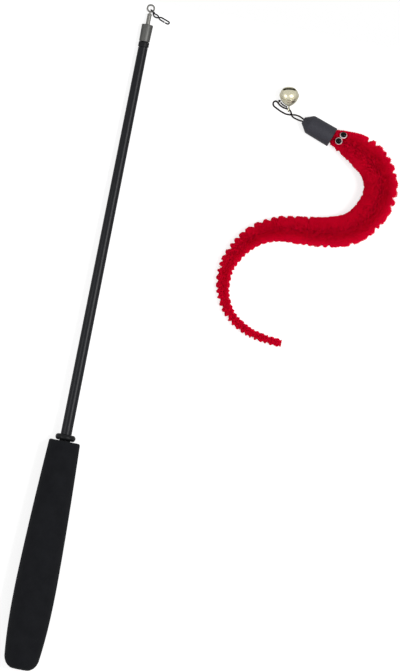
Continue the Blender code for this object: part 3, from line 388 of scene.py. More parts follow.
def add_piece(
    name: str, data: Mesh, finish: Finishes, body: str, node: str, place: Matrix | None = None
) -> Piece:
    """Put a finished piece into the scene on its body.

    Args:
        name: the piece's name.
        data: its mesh, in its own frame.
        finish: what it is made of.
        body: the body that it rides on, empty for a piece between two that rides on none.
        node: the node that it replaces, empty for none.
        place: its frame in the world, the world's own if left out.

    Returns:
        The piece.
    """
    piece = bpy.data.objects.new(name, data)
    bpy.context.scene.collection.objects.link(piece)
    if place is not None:
        piece.matrix_world = place
    data.materials.append(finish.value.material())
    if node:
        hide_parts(node)
    if body:
        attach(piece, body)
        log.info("%s rides on %s", name, body)
    return piece


def smooth_mesh(name: str, shape: Shape, sharp: float = SHARP) -> Mesh:
    """Mesh data from a bmesh, smooth but for edges sharper than an angle.

    Args:
        name: the mesh's name.
        shape: the bmesh, which is used up.
        sharp: the angle in degrees.

    Returns:
        The mesh.
    """
    bmesh.ops.recalc_face_normals(shape, faces=shape.faces)
    data = bpy.data.meshes.new(name)
    shape.to_mesh(data)
    shape.free()
    data.shade_smooth()
    data.set_sharp_from_angle(angle=radians(sharp))
    return data


def add_shape(
    name: str,
    shape: Shape,
    finish: Finishes,
    body: str,
    node: str,
    place: Matrix | None = None,
    sharp: float = SHARP,
) -> Piece:
    """Make smooth mesh data of a bmesh and put it into the scene as a finished piece."""
    return add_piece(name, smooth_mesh(name, shape, sharp), finish, body, node, place)


def turned(outline: Outline, sides: int) -> Shape:
    """Turn an outline about the local Z axis; off the axis it closes on itself.

    Args:
        outline: (radius, height) points.
        sides: how many sides the round has.

    Returns:
        The turned shape.
    """
    shape = bmesh.new()
    points = [shape.verts.new((radius, 0.0, height)) for radius, height in outline]
    edges = [shape.edges.new(pair) for pair in zip(points, points[1:])]
    if outline[0][0] > NO_LENGTH:
        edges.append(shape.edges.new((points[-1], points[0])))
    middle = (0.0, 0.0, 0.0)
    bmesh.ops.spin(
        shape, geom=points + edges, cent=middle, axis=UP, angle=tau, steps=sides, use_merge=True
    )
    bmesh.ops.remove_doubles(shape, verts=shape.verts, dist=1e-6)
    return shape


def arc(
    centre: tuple[float, float], radii: tuple[float, float], start: float, end: float, steps: int
) -> Outline:
    """Points of an elliptical arc.

    Args:
        centre: its (radius, height) middle.
        radii: its half widths along radius and height.
        start: the first angle, from the radius direction, in radians.
        end: the last angle.
        steps: how many straight runs it has.

    Returns:
        (radius, height) points.
    """
    angles = [start + (end - start) * step / steps for step in range(steps + 1)]
    return [(centre[0] + radii[0] * cos(a), centre[1] + radii[1] * sin(a)) for a in angles]


def read_columns(wanted: Array, marks: Array, table: Array) -> Array:
    """A table's rows at wanted marks, between those that it has."""
    return np.column_stack([np.interp(wanted, marks, column) for column in table.T])


def unit_rows(rows: Array) -> Array:
    """A table's rows, each scaled to a length of 1."""
    return rows / np.maximum(np.linalg.norm(rows, axis=1, keepdims=True), NO_LENGTH)


def smooth_line(route: list[Vector], spacing: float) -> list[Vector]:
    """Points an even distance apart on a smooth curve through a route's own points.

    Args:
        route: the route's points.
        spacing: the distance wanted between points.

    Returns:
        The points, the route's two ends among them.
    """
    parts = 24
    ends = [route[0] * 2 - route[1]] + route + [route[-1] * 2 - route[-2]]
    fine = []
    for index in range(1, len(ends) - 2):
        before, here, there, after = ends[index - 1 : index + 3]
        for part in range(parts):
            t = part / parts
            bend = (before * 2 - here * 5 + there * 4 - after) * t**2
            twist = (here * 3 - before - there * 3 + after) * t**3
            fine.append((here * 2 + (there - before) * t + bend + twist) * 0.5)
    fine.append(route[-1])
    travelled = np.cumsum([0.0] + [(b - a).length for a, b in zip(fine, fine[1:])])
    count = max(2, round(travelled[-1] / spacing))
    wanted = np.linspace(0.0, travelled[-1], count + 1)
    return [Vector(point) for point in read_columns(wanted, travelled, np.array(fine))]


def add_circle(
    shape: Shape, middle: Vector, across: Vector, up: Vector, radius: float, sides: int
) -> list[bmesh.types.BMVert]:
    """Add the corners of a circle that lies along two directions."""
    angles = [tau * corner / sides for corner in range(sides)]
    return [shape.verts.new(middle + (across * cos(a) + up * sin(a)) * radius) for a in angles]


def skin(shape: Shape, rows: list, following: list) -> None:
    """Join each row of corners to the one that follows it with four-sided faces.

    Args:
        shape: the shape that the corners belong to.
        rows: the rows.
        following: for each row, the one that it is joined to.
    """
    for row, beyond in zip(rows, following):
        for corner in range(len(row)):
            after = (corner + 1) % len(row)
            shape.faces.new((row[corner], row[after], beyond[after], beyond[corner]))


def strand_tube(
    line: list[Vector], radius: float, sides: int, plies: int = 1, lay_length: float = 1.0
) -> Shape:
    """A round wire along a line, or several plies twisted round it, with closed ends.

    Args:
        line: the points of the middle line.
        radius: the outer radius of the whole.
        sides: how many sides each ply has.
        plies: how many plies there are.
        lay_length: how far the plies run in one turn.

    Returns:
        The closed shape.
    """
    ply = radius if plies == 1 else radius / (1 + 1 / sin(pi / plies))
    orbit = 0.0 if plies == 1 else radius - ply
    shape = bmesh.new()
    side = (line[1] - line[0]).orthogonal().normalized()
    frames = []
    gone = 0.0
    for index, point in enumerate(line):
        ahead = (line[min(index + 1, len(line) - 1)] - line[max(index - 1, 0)]).normalized()
        side = (side - ahead * side.dot(ahead)).normalized()
        if index:
            gone += (point - line[index - 1]).length
        frames.append((point, side.copy(), ahead.cross(side), gone))
    for number in range(plies):
        loops = []
        for point, across, up, gone in frames:
            turn = tau * (number / plies + gone / lay_length) if plies > 1 else 0.0
            middle = point + (across * cos(turn) + up * sin(turn)) * orbit
            loops.append(add_circle(shape, middle, across, up, ply, sides))
        skin(shape, loops, loops[1:])
        shape.faces.new(loops[0])
        shape.faces.new(loops[-1])
    return shape


def axes_matrix(place: Vector, across: Vector, side: Vector, up: Vector) -> Matrix:
    """A world matrix whose columns are three unit directions and a place.

    Args:
        place: where its origin is.
        across: its X direction.
        side: its Y direction.
        up: its Z direction.

    Returns:
        The matrix.
    """
    matrix = Matrix((across, side, up)).transposed().to_4x4()
    matrix.translation = place
    return matrix


def level(heading: float) -> Vector:
    """The level direction at an angle from the X axis."""
    return Vector((cos(heading), sin(heading), 0.0))


def carve(piece: Piece, cutter_data: Mesh, operation: str) -> None:
    """Cut a shape out of a piece, or fuse it on, and keep only the resulting mesh.

    Args:
        piece: the piece, whose mesh changes.
        cutter_data: the other shape, in the piece's own frame.
        operation: DIFFERENCE or UNION.
    """
    other = bpy.data.objects.new(piece.name + "_tool", cutter_data)
    bpy.context.scene.collection.objects.link(other)
    other.matrix_world = piece.matrix_world
    step = piece.modifiers.new("carve", "BOOLEAN")
    step.operation = operation
    step.object = other
    bpy.context.view_layer.update()
    graph = bpy.context.evaluated_depsgraph_get()
    result = bpy.data.meshes.new_from_object(piece.evaluated_get(graph))
    piece.modifiers.clear()
    piece.data = result
    bpy.data.objects.remove(other)
    result.shade_smooth()
    result.set_sharp_from_angle(angle=radians(SHARP))


@dataclass
class Studio:
    """A white table seen from straight above, a large softbox on its right and a weaker one left."""

    frame_height: float = 0.396
    middle: tuple[float, float] = (0.0661, 0.2136)
    turn: float = atan2(0.1946, 0.9809)
    distance: float = 3.0
    sensor: float = 36.0
    focus_height: float = -0.006
    table_reach: float = 1.5
    table_end: float = 0.402
    table_lift: float = 0.66
    table_gloss: float = 0.15
    paper: str = "#cdcdcd"
    ambient: float = 0.40
    # Each lamp's name, place, width and power in watts.
    lamps: tuple = (
        ("key_softbox", (0.62, 0.30, 0.95), 0.42, 7.2),
        ("fill_softbox", (-0.62, 0.05, 0.70), 0.45, 2.4),
    )

    def build(self) -> None:
        """Make the camera, the table, the world and the lamps."""
        self.add_camera()
        self.add_table()
        self.set_world()
        for name, place, width, power in self.lamps:
            self.add_lamp(name, place, width, power)
        bpy.context.scene.view_settings.view_transform = "Standard"

    def add_camera(self) -> None:
        """Hang the camera straight above, so that the frame is as high as the photograph's."""
        data = bpy.data.cameras.new("camera")
        data.sensor_width = self.sensor
        data.lens = self.sensor * self.distance / self.frame_height
        data.clip_end = 100.0
        camera = bpy.data.objects.new("camera", data)
        camera.location = (*self.middle, self.focus_height + self.distance)
        camera.rotation_euler = (0.0, 0.0, self.turn)
        bpy.context.scene.collection.objects.link(camera)
        bpy.context.scene.camera = camera

    def add_table(self) -> None:
        """Lay the table; it ends just past the wand's tip, where the sections slide out."""
        shape = bmesh.new()
        left = self.middle[0] - self.table_reach
        right = self.middle[0] + self.table_reach
        near = self.middle[1] - self.table_reach
        corners = ((left, near), (right, near), (right, self.table_end), (left, self.table_end))
        shape.faces.new([shape.verts.new((x, y, FLOOR)) for x, y in corners])
        data = bpy.data.meshes.new("table")
        shape.to_mesh(data)
        shape.free()
        table = bpy.data.objects.new("table", data)
        bpy.context.scene.collection.objects.link(table)
        data.materials.append(self.table_material())

    def seen_by(self, tree: Tree, *rays: str) -> Socket:
        """An output that is 1 for some kinds of ray, and else 0.

        Args:
            tree: the nodes that it joins.
            rays: the Light Path outputs for those kinds.

        Returns:
            The output.
        """
        path = add_node(tree, "LightPath")
        seen = path.outputs[rays[0]]
        for ray in rays[1:]:
            pair = add_node(tree, "Math", {0: seen, 1: path.outputs[ray]}, operation="MAXIMUM")
            seen = pair.outputs["Value"]
        return seen

    def table_material(self) -> bpy.types.Material:
        """Paper that keeps the shadow, lifted to full white for the eye where nothing shades it.

        Returns:
            The material.
        """
        made = bpy.data.materials.new("white_paper")
        made.use_nodes = True
        tree = made.node_tree
        tree.nodes.clear()
        paper = add_node(tree, "BsdfDiffuse", values={"Color": srgb(self.paper)})
        links = {0: self.seen_by(tree, "Is Camera Ray", "Is Transmission Ray")}
        to_eye = add_node(tree, "Math", links, {1: self.table_lift}, operation="MULTIPLY")
        links = {0: self.seen_by(tree, "Is Glossy Ray"), 2: to_eye.outputs["Value"]}
        lift = add_node(tree, "Math", links, {1: self.table_gloss}, operation="MULTIPLY_ADD")
        glow = add_node(tree, "Emission", {"Strength": lift.outputs["Value"]})
        both = add_node(
            tree, "AddShader", {0: paper.outputs["BSDF"], 1: glow.outputs["Emission"]}
        )
        add_node(tree, "OutputMaterial", {"Surface": both.outputs["Shader"]})
        return made

    def set_world(self) -> None:
        """Set a world that is white where it is seen and lights at a plain level."""
        world = bpy.data.worlds.new("studio")
        world.use_nodes = True
        tree = world.node_tree
        tree.nodes.clear()
        seen = self.seen_by(tree, "Is Camera Ray", "Is Glossy Ray", "Is Transmission Ray")
        values = {"To Min": self.ambient, "To Max": 1.0}
        strength = add_node(tree, "MapRange", {"Value": seen}, values)
        links = {"Strength": strength.outputs["Result"]}
        light = add_node(tree, "Background", links, {"Color": (1.0, 1.0, 1.0, 1.0)})
        add_node(tree, "OutputWorld", {"Surface": light.outputs["Background"]})
        bpy.context.scene.world = world

    def add_lamp(
        self, name: str, place: tuple[float, float, float], width: float, power: float
    ) -> None:
        """Hang a square softbox that faces the middle of the table.

        Args:
            name: the lamp's name.
            place: where it hangs.
            width: the length of its sides.
            power: its power in watts.
        """
        data = bpy.data.lights.new(name, "AREA")
        data.shape = "SQUARE"
        data.size = width
        data.energy = power
        lamp = bpy.data.objects.new(name, data)
        lamp.location = place
        target = Vector((*self.middle, 0.0))
        lamp.rotation_euler = (target - Vector(place)).to_track_quat("-Z", "Y").to_euler()
        lamp.visible_camera = False
        bpy.context.scene.collection.objects.link(lamp)


def wand_axis() -> Matrix:
    """The wand's frame: its Z runs from the butt to the tip, dipping a little.

    Returns:
        The frame.
    """
    low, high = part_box("swivel_barrel")
    along = (low + high) / 2
    dip = atan2(-along.z, along.y)
    return Matrix.Rotation(-(QUARTER + dip), 4, "X")


@dataclass
class Handle:
    """The foam grip, the plug in its butt and the ring where the tube leaves it."""

    length: float = 0.137
    butt_diameter: float = 0.0189
    belly_diameter: float = 0.0246
    belly_at: float = 0.0475
    top_diameter: float = 0.0185
    butt_swell: float = 2.45
    top_swell: float = 1.46
    top_round: float = 0.0012
    corner_depth: float = 0.007
    corner_width: float = 0.0053
    plug_diameter: float = 0.013
    plug_thickness: float = 0.0026
    spigot_length: float = 0.010
    spigot_diameter: float = 0.0042
    bore_diameter: float = 0.0072
    ring_diameter: float = 0.012
    ring_thickness: float = 0.0037
    ring_round: float = 0.0016
    sides: int = 96

    def radius(self, along: float) -> float:
        """The grip's radius, swelling from the butt to the belly and falling to the top.

        Args:
            along: how far up the grip.

        Returns:
            The radius there.
        """
        if along < self.belly_at:
            drop = (self.belly_diameter - self.butt_diameter) / 2
            return self.belly_diameter / 2 - drop * (1 - along / self.belly_at) ** self.butt_swell
        drop = (self.belly_diameter - self.top_diameter) / 2
        share = (along - self.belly_at) / (self.length - self.belly_at)
        return self.belly_diameter / 2 - drop * share**self.top_swell

    def corner(self, angle: float) -> tuple[float, float]:
        """A point of the rounded butt.

        Args:
            angle: 0 at the flat face's edge, a quarter turn at the side.

        Returns:
            The point's radius and height.
        """
        flat = self.butt_diameter / 2 - self.corner_width
        along = self.corner_depth * (1 - cos(angle))
        rounded = flat + self.corner_width * sin(angle)
        return rounded + self.radius(along) - self.butt_diameter / 2, along

    def edge_angle(self) -> float:
        """Where on the rounded butt the plug's edge lies."""
        flat = self.butt_diameter / 2 - self.corner_width
        return asin((self.plug_diameter / 2 - flat) / self.corner_width)

    def build(self, axis: Matrix) -> None:
        """Turn the three pieces.

        Args:
            axis: the wand's frame.
        """
        for name, outline, finish, node in (
            ("foam_sleeve", self.grip_outline(), Finishes.FOAM, "grip"),
            ("rubber_plug", self.plug_outline(), Finishes.PLUG, "butt_cap"),
            ("trim_ring", self.ring_outline(), Finishes.TRIM, "grip_collar"),
        ):
            add_shape(name, turned(outline, self.sides), finish, "rod", node, axis)

    def grip_outline(self) -> Outline:
        """The foam sleeve, with softened edges at its recess and at its top.

        Returns:
            (radius, height) points.
        """
        edge = self.edge_angle()
        recess = self.corner(edge)[0] + FIT_GAP
        recess_floor = self.plug_thickness + FIT_GAP
        bore = self.bore_diameter / 2
        outline = [(bore, recess_floor), (recess, recess_floor)]
        outline.append((recess, self.corner(edge)[1] + FIT_GAP))
        corner_steps = 14
        for step in range(1, corner_steps + 1):
            outline.append(self.corner(edge + (QUARTER - edge) * step / corner_steps))
        stations = 90
        side_end = self.length - self.top_round
        for step in range(1, stations):
            along = self.corner_depth + (side_end - self.corner_depth) * step / stations
            outline.append((self.radius(along), along))
        centre = (self.radius(side_end) - self.top_round, side_end)
        outline += arc(centre, (self.top_round, self.top_round), 0.0, QUARTER, 8)
        outline.append((bore, self.length))
        return outline

    def plug_outline(self) -> Outline:
        """The butt plug: a domed button on a spigot that enters the tube.

        Returns:
            (radius, height) points.
        """
        edge = self.edge_angle()
        steps = 8
        face = [self.corner(edge * step / steps) for step in range(steps + 1)]
        spigot = self.spigot_diameter / 2
        foot = self.plug_thickness
        end = foot + self.spigot_length
        outline = [(0.0, 0.0), *face, (self.corner(edge)[0], foot), (spigot, foot)]
        return outline + [(spigot, end - FIT_GAP), (spigot - FIT_GAP, end), (0.0, end)]

    def ring_outline(self) -> Outline:
        """The round-edged ring that trims the tube at the top of the grip.

        Returns:
            (radius, height) points.
        """
        inner = self.bore_diameter / 2
        half = self.ring_thickness / 2
        middle = self.length + FIT_GAP + half
        centre = (self.ring_diameter / 2 - self.ring_round, middle)
        edge = arc(centre, (self.ring_round, half), -QUARTER, QUARTER, 24)
        return [(inner, middle - half), *edge, (inner, middle + half)]


@dataclass
class Sections:
    """The three telescopic sections of the blank and the collar on the first one's mouth."""

    start: float = 0.0029
    grip_end: float = 0.137
    end: float = 0.3774
    outer_diameter: float = 0.0066
    outer_end_diameter: float = 0.0057
    outer_bore: float = 0.0048
    outer_mouth_bore: float = 0.0040
    outer_mouth_length: float = 0.012
    collar_diameter: float = 0.0063
    collar_length: float = 0.003
    collar_round: float = FIT_GAP * 1.2
    neck_diameter: float = 0.0047
    inner_start: float = 0.0129
    root_length: float = 0.050
    root_taper: float = 0.003
    middle_diameter: float = 0.0035
    middle_root: float = 0.0043
    middle_bore: float = 0.0029
    middle_mouth_bore: float = 0.0023
    middle_mouth_length: float = 0.010
    tip_diameter: float = 0.0019
    tip_root: float = 0.0024
    tip_end: float = 0.3838
    sides: int = 48

    def build(self, axis: Matrix) -> None:
        """Turn the sections and the collar.

        Args:
            axis: the wand's frame.
        """
        for name, outline, finish, body, node in (
            ("outer_blank", self.outer_outline(), Finishes.BLANK, "rod", "outer_tube"),
            ("mouth_ring", self.collar_outline(), Finishes.TRIM, "rod", "mouth_collar"),
            ("middle_blank", self.middle_outline(), Finishes.BLANK, "middle", "middle_tube"),
            ("tip_blank", self.tip_outline(), Finishes.BLANK, "tip", "tip_rod"),
        ):
            add_shape(name, turned(outline, self.sides), finish, body, node, axis)

    def outer_outline(self) -> Outline:
        """The outer section: straight in the grip, then tapered, with a turned-down neck.

        Returns:
            (radius, height) points.
        """
        neck = self.end - self.collar_length - FIT_GAP
        mouth = self.end - self.outer_mouth_length
        bore = self.outer_bore / 2
        first = self.outer_diameter / 2
        last = self.outer_end_diameter / 2
        rings = 60
        outline = [(bore, self.start), (first, self.start), (first, self.grip_end)]
        for step in range(1, rings + 1):
            share = step / rings
            along = self.grip_end + (neck - self.grip_end) * share
            outline.append((first + (last - first) * share, along))
        outline += [(self.neck_diameter / 2, neck), (self.neck_diameter / 2, self.end)]
        outline += [(self.outer_mouth_bore / 2, self.end), (self.outer_mouth_bore / 2, mouth)]
        outline.append((bore, mouth - self.root_taper))
        return outline

    def collar_outline(self) -> Outline:
        """The collar over the neck, with rounded edges.

        Returns:
            (radius, height) points.
        """
        start = self.end - self.collar_length
        inner = self.neck_diameter / 2 + FIT_GAP
        soft = self.collar_round
        middle = self.collar_diameter / 2 - soft
        low = arc((middle, start + soft), (soft, soft), -QUARTER, 0.0, 6)
        high = arc((middle, self.end - soft), (soft, soft), 0.0, QUARTER, 6)
        return [(inner, start), *low, *high, (inner, self.end)]

    def middle_outline(self) -> Outline:
        """The second section: a thicker root, a softened mouth and a narrower bore there.

        Returns:
            (radius, height) points.
        """
        root_end = self.inner_start + self.root_length
        mouth = self.end - self.middle_mouth_length
        bore = self.middle_bore / 2
        root = self.middle_root / 2
        side = self.middle_diameter / 2
        lip = self.middle_mouth_bore / 2
        soft = FIT_GAP / 2
        outline = [(bore, self.inner_start), (root, self.inner_start)]
        outline += [(root, root_end - self.root_taper), (side, root_end)]
        outline += [(side, self.end - soft), (side - soft, self.end), (lip, self.end)]
        return outline + [(lip, mouth), (bore, mouth - self.root_taper)]

    def tip_outline(self) -> Outline:
        """The solid last section, with a thicker root.

        Returns:
            (radius, height) points.
        """
        root_end = self.inner_start + self.root_length
        root = self.tip_root / 2
        side = self.tip_diameter / 2
        outline = [(0.0, self.inner_start), (root, self.inner_start)]
        outline += [(root, root_end - self.root_taper), (side, root_end)]
        return outline + [(side, self.tip_end), (0.0, self.tip_end)]


def wire_ring(reach: float, wire: float, height: float) -> Shape:
    """A wire ring that stands in the local XZ plane.

    Args:
        reach: its radius to the middle of the wire.
        wire: the wire's radius.
        height: how far up the local Z axis its centre is.

    Returns:
        The ring.
    """
    steps = 64
    sides = 20
    along_wire = Vector((0.0, 1.0, 0.0))
    shape = bmesh.new()
    rows = []
    for step in range(steps):
        turn = tau * step / steps
        out = Vector((sin(turn), 0.0, cos(turn)))
        middle = Vector((0.0, 0.0, height)) + out * reach
        rows.append(add_circle(shape, middle, out, along_wire, wire, sides))
    skin(shape, rows, rows[1:] + rows[:1])
    return shape


@dataclass
class PinnedRing:
    """A wire ring fused to a headed pin that holds it in a hole."""

    ring_diameter: float
    wire: float
    pin_diameter: float
    head_diameter: float
    head_length: float
    sides: int = 32

    def build(
        self,
        name: str,
        finish: Finishes,
        body: str,
        node: str,
        place: Matrix,
        centre: float,
        head_top: float,
    ) -> None:
        """Bend the ring and fuse the pin to it.

        Args:
            name: the piece's name.
            finish: what it is made of.
            body: the body that it rides on.
            node: the node that it replaces.
            place: its frame, whose Z runs out of the hole.
            centre: how far up the ring's centre is.
            head_top: how far up the pin's head ends.
        """
        foot = head_top - self.head_length
        head = self.head_diameter / 2
        pin = self.pin_diameter / 2
        top = centre - self.ring_diameter / 2 + self.wire / 2
        outline = [(0.0, foot), (head, foot), (head, head_top), (pin, head_top)]
        outline += [(pin, top), (0.0, top)]
        ring = wire_ring((self.ring_diameter - self.wire) / 2, self.wire / 2, centre)
        piece = add_shape(name, ring, finish, body, node, place)
        carve(piece, smooth_mesh(name + "_pin", turned(outline, self.sides)), "UNION")


@dataclass
class SwivelTip:
    """The metal sleeve on the tip, and the swivel's barrel and ring above it."""

    foot: float = 0.3777
    length: float = 0.0102
    foot_diameter: float = 0.0063
    top_diameter: float = 0.0067
    round_off: float = 0.0005
    rod_bore: float = 0.0025
    barrel_bore: float = 0.0031
    seat_depth: float = 0.0041
    barrel_diameter: float = 0.0025
    barrel_shown: float = 0.0067
    barrel_wall: float = 0.0003
    barrel_round: float = 0.0006
    chamber_length: float = 0.0018
    mouth_length: float = 0.0008
    mouth_bore: float = 0.00118
    shank_shown: float = 0.0006
    sides: int = 64
    ring: PinnedRing = field(
        default_factory=lambda: PinnedRing(0.0051, 0.00105, 0.00076, 0.0014, 0.0009)
    )

    def build(self, axis: Matrix) -> None:
        """Make the sleeve, the barrel and the ring.

        Args:
            axis: the wand's frame.
        """
        for name, outline, finish, node in (
            ("steel_sleeve", self.sleeve_outline(), Finishes.FERRULE, "tip_ferrule"),
            ("swivel_tube", self.barrel_outline(), Finishes.BARREL, "swivel_barrel"),
        ):
            add_shape(name, turned(outline, self.sides), finish, "tip", node, axis)
        head_top = self.barrel_top() - self.mouth_length - FIT_GAP
        looks = ("swivel_ring", Finishes.BARREL, "swivel", "swivel_eye", axis)
        self.ring.build(*looks, self.ring_centre(), head_top)

    def barrel_top(self) -> float:
        """Where the barrel ends."""
        return self.foot + self.length + self.barrel_shown

    def ring_centre(self) -> float:
        """Where the middle of the ring is."""
        return self.barrel_top() + self.shank_shown + self.ring.ring_diameter / 2

    def sleeve_outline(self) -> Outline:
        """The sleeve, with a rounded shoulder and a slightly flared foot.

        Returns:
            (radius, height) points.
        """
        end = self.foot + self.length
        seat = end - self.seat_depth
        soft = self.round_off / 2
        foot = (self.foot_diameter / 2 - soft, self.foot + soft)
        shoulder = (self.top_diameter / 2 - self.round_off, end - self.round_off)
        outline = [(self.rod_bore / 2, self.foot)]
        outline += arc(foot, (soft, soft), -QUARTER, 0.0, 5)
        outline += arc(shoulder, (self.round_off, self.round_off), 0.0, QUARTER, 8)
        outline += [(self.barrel_bore / 2, end), (self.barrel_bore / 2, seat)]
        outline.append((self.rod_bore / 2, seat))
        return outline

    def barrel_outline(self) -> Outline:
        """The barrel, with a rolled-in mouth over its chamber.

        Returns:
            (radius, height) points.
        """
        top = self.barrel_top()
        foot = self.foot + self.length - self.seat_depth + FIT_GAP
        outer = self.barrel_diameter / 2
        chamber = outer - self.barrel_wall
        chamber_top = top - self.mouth_length
        chamber_floor = chamber_top - self.chamber_length
        roll = self.barrel_round
        outline = [(0.0, foot), (outer, foot)]
        outline += arc((outer - roll, top - roll), (roll, roll), 0.0, QUARTER, 8)
        outline += [(self.mouth_bore / 2, top), (self.mouth_bore / 2, chamber_top)]
        return outline + [(chamber, chamber_top), (chamber, chamber_floor), (0.0, chamber_floor)]


@dataclass
class Snap:
    """The wire snap that hangs in the ring: a fixed wire with a hook and a springy leg.

    Its routes are shares of its reach, of its spread to the left and of its drop to the table.
    """

    tip: SwivelTip
    wire: float = 0.00085
    eye_radius: float = 0.00125
    eye_tail: float = 0.0003
    leg_start: float = 0.0008
    reach: float = 0.0119
    spread: float = 0.0008
    on_ring: float = radians(-45)
    heading: float = radians(-25.3)
    sides: int = 16
    sharp: float = 60.0
    fixed_route: Route = (
        (0.07, -0.75, 0.42), (0.13, -1.75, 0.62), (0.20, -2.3, 0.77), (0.30, -2.2, 0.89),
        (0.36, -1.8, 0.93), (0.42, -1.0, 0.96), (0.48, -0.2, 0.98), (0.54, 0.2, 0.99),
        (0.62, 0.35, 1.0), (0.75, 0.57, 1.0), (0.90, 0.83, 1.0), (0.965, 0.79, 1.0),
        (1.0, 0.3, 1.0), (1.0, -0.3, 1.0), (0.965, -0.91, 1.0), (0.90, -1.17, 1.0),
        (0.82, -1.31, 1.0),
    )
    leg_route: Route = (
        (0.17, -0.67, -0.28), (0.24, -0.42, -0.14), (0.30, -0.32, -0.02), (0.36, -0.5, 0.12),
        (0.42, -1.0, 0.27), (0.48, -1.48, 0.42), (0.54, -1.7, 0.56), (0.61, -1.66, 0.72),
        (0.70, -1.5, 0.87), (0.78, -1.37, 0.965),
    )

    def build(self, axis: Matrix) -> None:
        """Bend both wires in the snap's own frame, on the ring of the wand.

        Args:
            axis: the wand's frame.
        """
        ring = self.tip.ring
        centre = self.tip.ring_centre()
        reach = (ring.ring_diameter - ring.wire) / 2
        across = reach * cos(self.on_ring)
        along = centre + reach * sin(self.on_ring)
        hang = axis @ Vector((across, 0.0, along))
        drop = (axis @ Vector((0.0, 0.0, centre))).z - FLOOR - self.wire / 2 - LIE_GAP
        place = Matrix.Translation(hang) @ Matrix.Rotation(self.heading, 4, "Z")
        steps = 24
        angles = [QUARTER + pi * step / steps for step in range(steps + 1)]
        bend = [Vector((cos(angle), 0.0, sin(angle))) * self.eye_radius for angle in angles]
        fixed = smooth_line([bend[-1], *self.points(self.fixed_route, drop)], self.wire / 3)
        hook = [Vector((self.eye_tail, 0.0, self.eye_radius)), *bend[:-1], *fixed]
        root = Vector((self.leg_start, 0.0, self.eye_radius))
        leg = smooth_line([root, *self.points(self.leg_route, drop)], self.wire / 3)
        for name, line, body, node in (
            ("snap_hook", hook, "snap", "snap_wire"),
            ("snap_leg", leg, "gate", "snap_gate"),
        ):
            shape = strand_tube(line, self.wire / 2, self.sides)
            add_shape(name, shape, Finishes.SNAP, body, node, place, self.sharp)

    def points(self, route: Route, drop: float) -> list[Vector]:
        """A route's shares as places in the snap's own frame."""
        return [Vector((a * self.reach, b * self.spread, -c * drop)) for a, b, c in route]


@dataclass
class LureCap:
    """The moulded cap that holds the cord's knot and the worm's head."""

    nose_place: tuple[float, float] = (0.1011, 0.3501)
    heading: float = radians(-19.4)
    diameter: float = 0.012
    shoulder_diameter: float = 0.0116
    length: float = 0.020
    shoulder_length: float = 0.0045
    shoulder_round: float = 0.0008
    nose_diameter: float = 0.0041
    wall: float = 0.0008
    hole_diameter: float = 0.0031
    hole_length: float = 0.0015
    sides: int = 96

    def nose(self) -> Vector:
        """The middle of the cap's nose."""
        return Vector((*self.nose_place, FLOOR + self.diameter / 2 + LIE_GAP))

    def mouth(self) -> Vector:
        """The middle of the cap's mouth, level with its nose."""
        return self.nose() + level(self.heading) * self.length

    def matrix(self) -> Matrix:
        """The cap's frame: its Z runs from the nose to the mouth, and its Y is level.

        Returns:
            The frame.
        """
        forwards = level(self.heading)
        left = Vector((-forwards.y, forwards.x, 0.0))
        return axes_matrix(self.nose(), left.cross(forwards), left, forwards)

    def build(self) -> None:
        """Turn the cap, with a soft shoulder, and finish the knot inside it."""
        outer = self.diameter / 2
        first = self.shoulder_diameter / 2
        nose = self.nose_diameter / 2
        hole = self.hole_diameter / 2
        soft = self.shoulder_round
        shoulder = self.shoulder_length
        rim = FIT_GAP
        slope = atan2(first - soft - nose, shoulder - soft)
        outline = [(hole, 0.0)]
        outline += arc((nose - rim, rim), (rim, rim), -QUARTER, -slope, 5)
        cone_end = Vector((first - soft, shoulder - soft))
        corner = Vector((first - soft / 8, shoulder - soft / 6))
        side_start = Vector((first, shoulder + soft))
        steps = 9
        for share in (step / steps for step in range(steps + 1)):
            leaving = cone_end.lerp(corner, share)
            outline.append(tuple(leaving.lerp(corner.lerp(side_start, share), share)))
        outline += arc((outer - rim, self.length - rim), (rim, rim), 0.0, QUARTER, 5)
        outline.append((outer - self.wall, self.length))
        outline += [(first - self.wall, shoulder + self.wall), (hole, self.hole_length)]
        shape = turned(outline, self.sides)
        add_shape("cap_moulding", shape, Finishes.CAP, "lure_head", "lure_cap", self.matrix())
        dress_node("cord_knot", Finishes.CORD)


def dress_node(node: str, finish: Finishes) -> None:
    """Give a node that is shown as it is its finish.

    Args:
        node: the node.
        finish: what it is made of.
    """
    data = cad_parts[node].data
    data.materials.clear()
    data.materials.append(finish.value.material())
    log.info("%s keeps its solid", node)


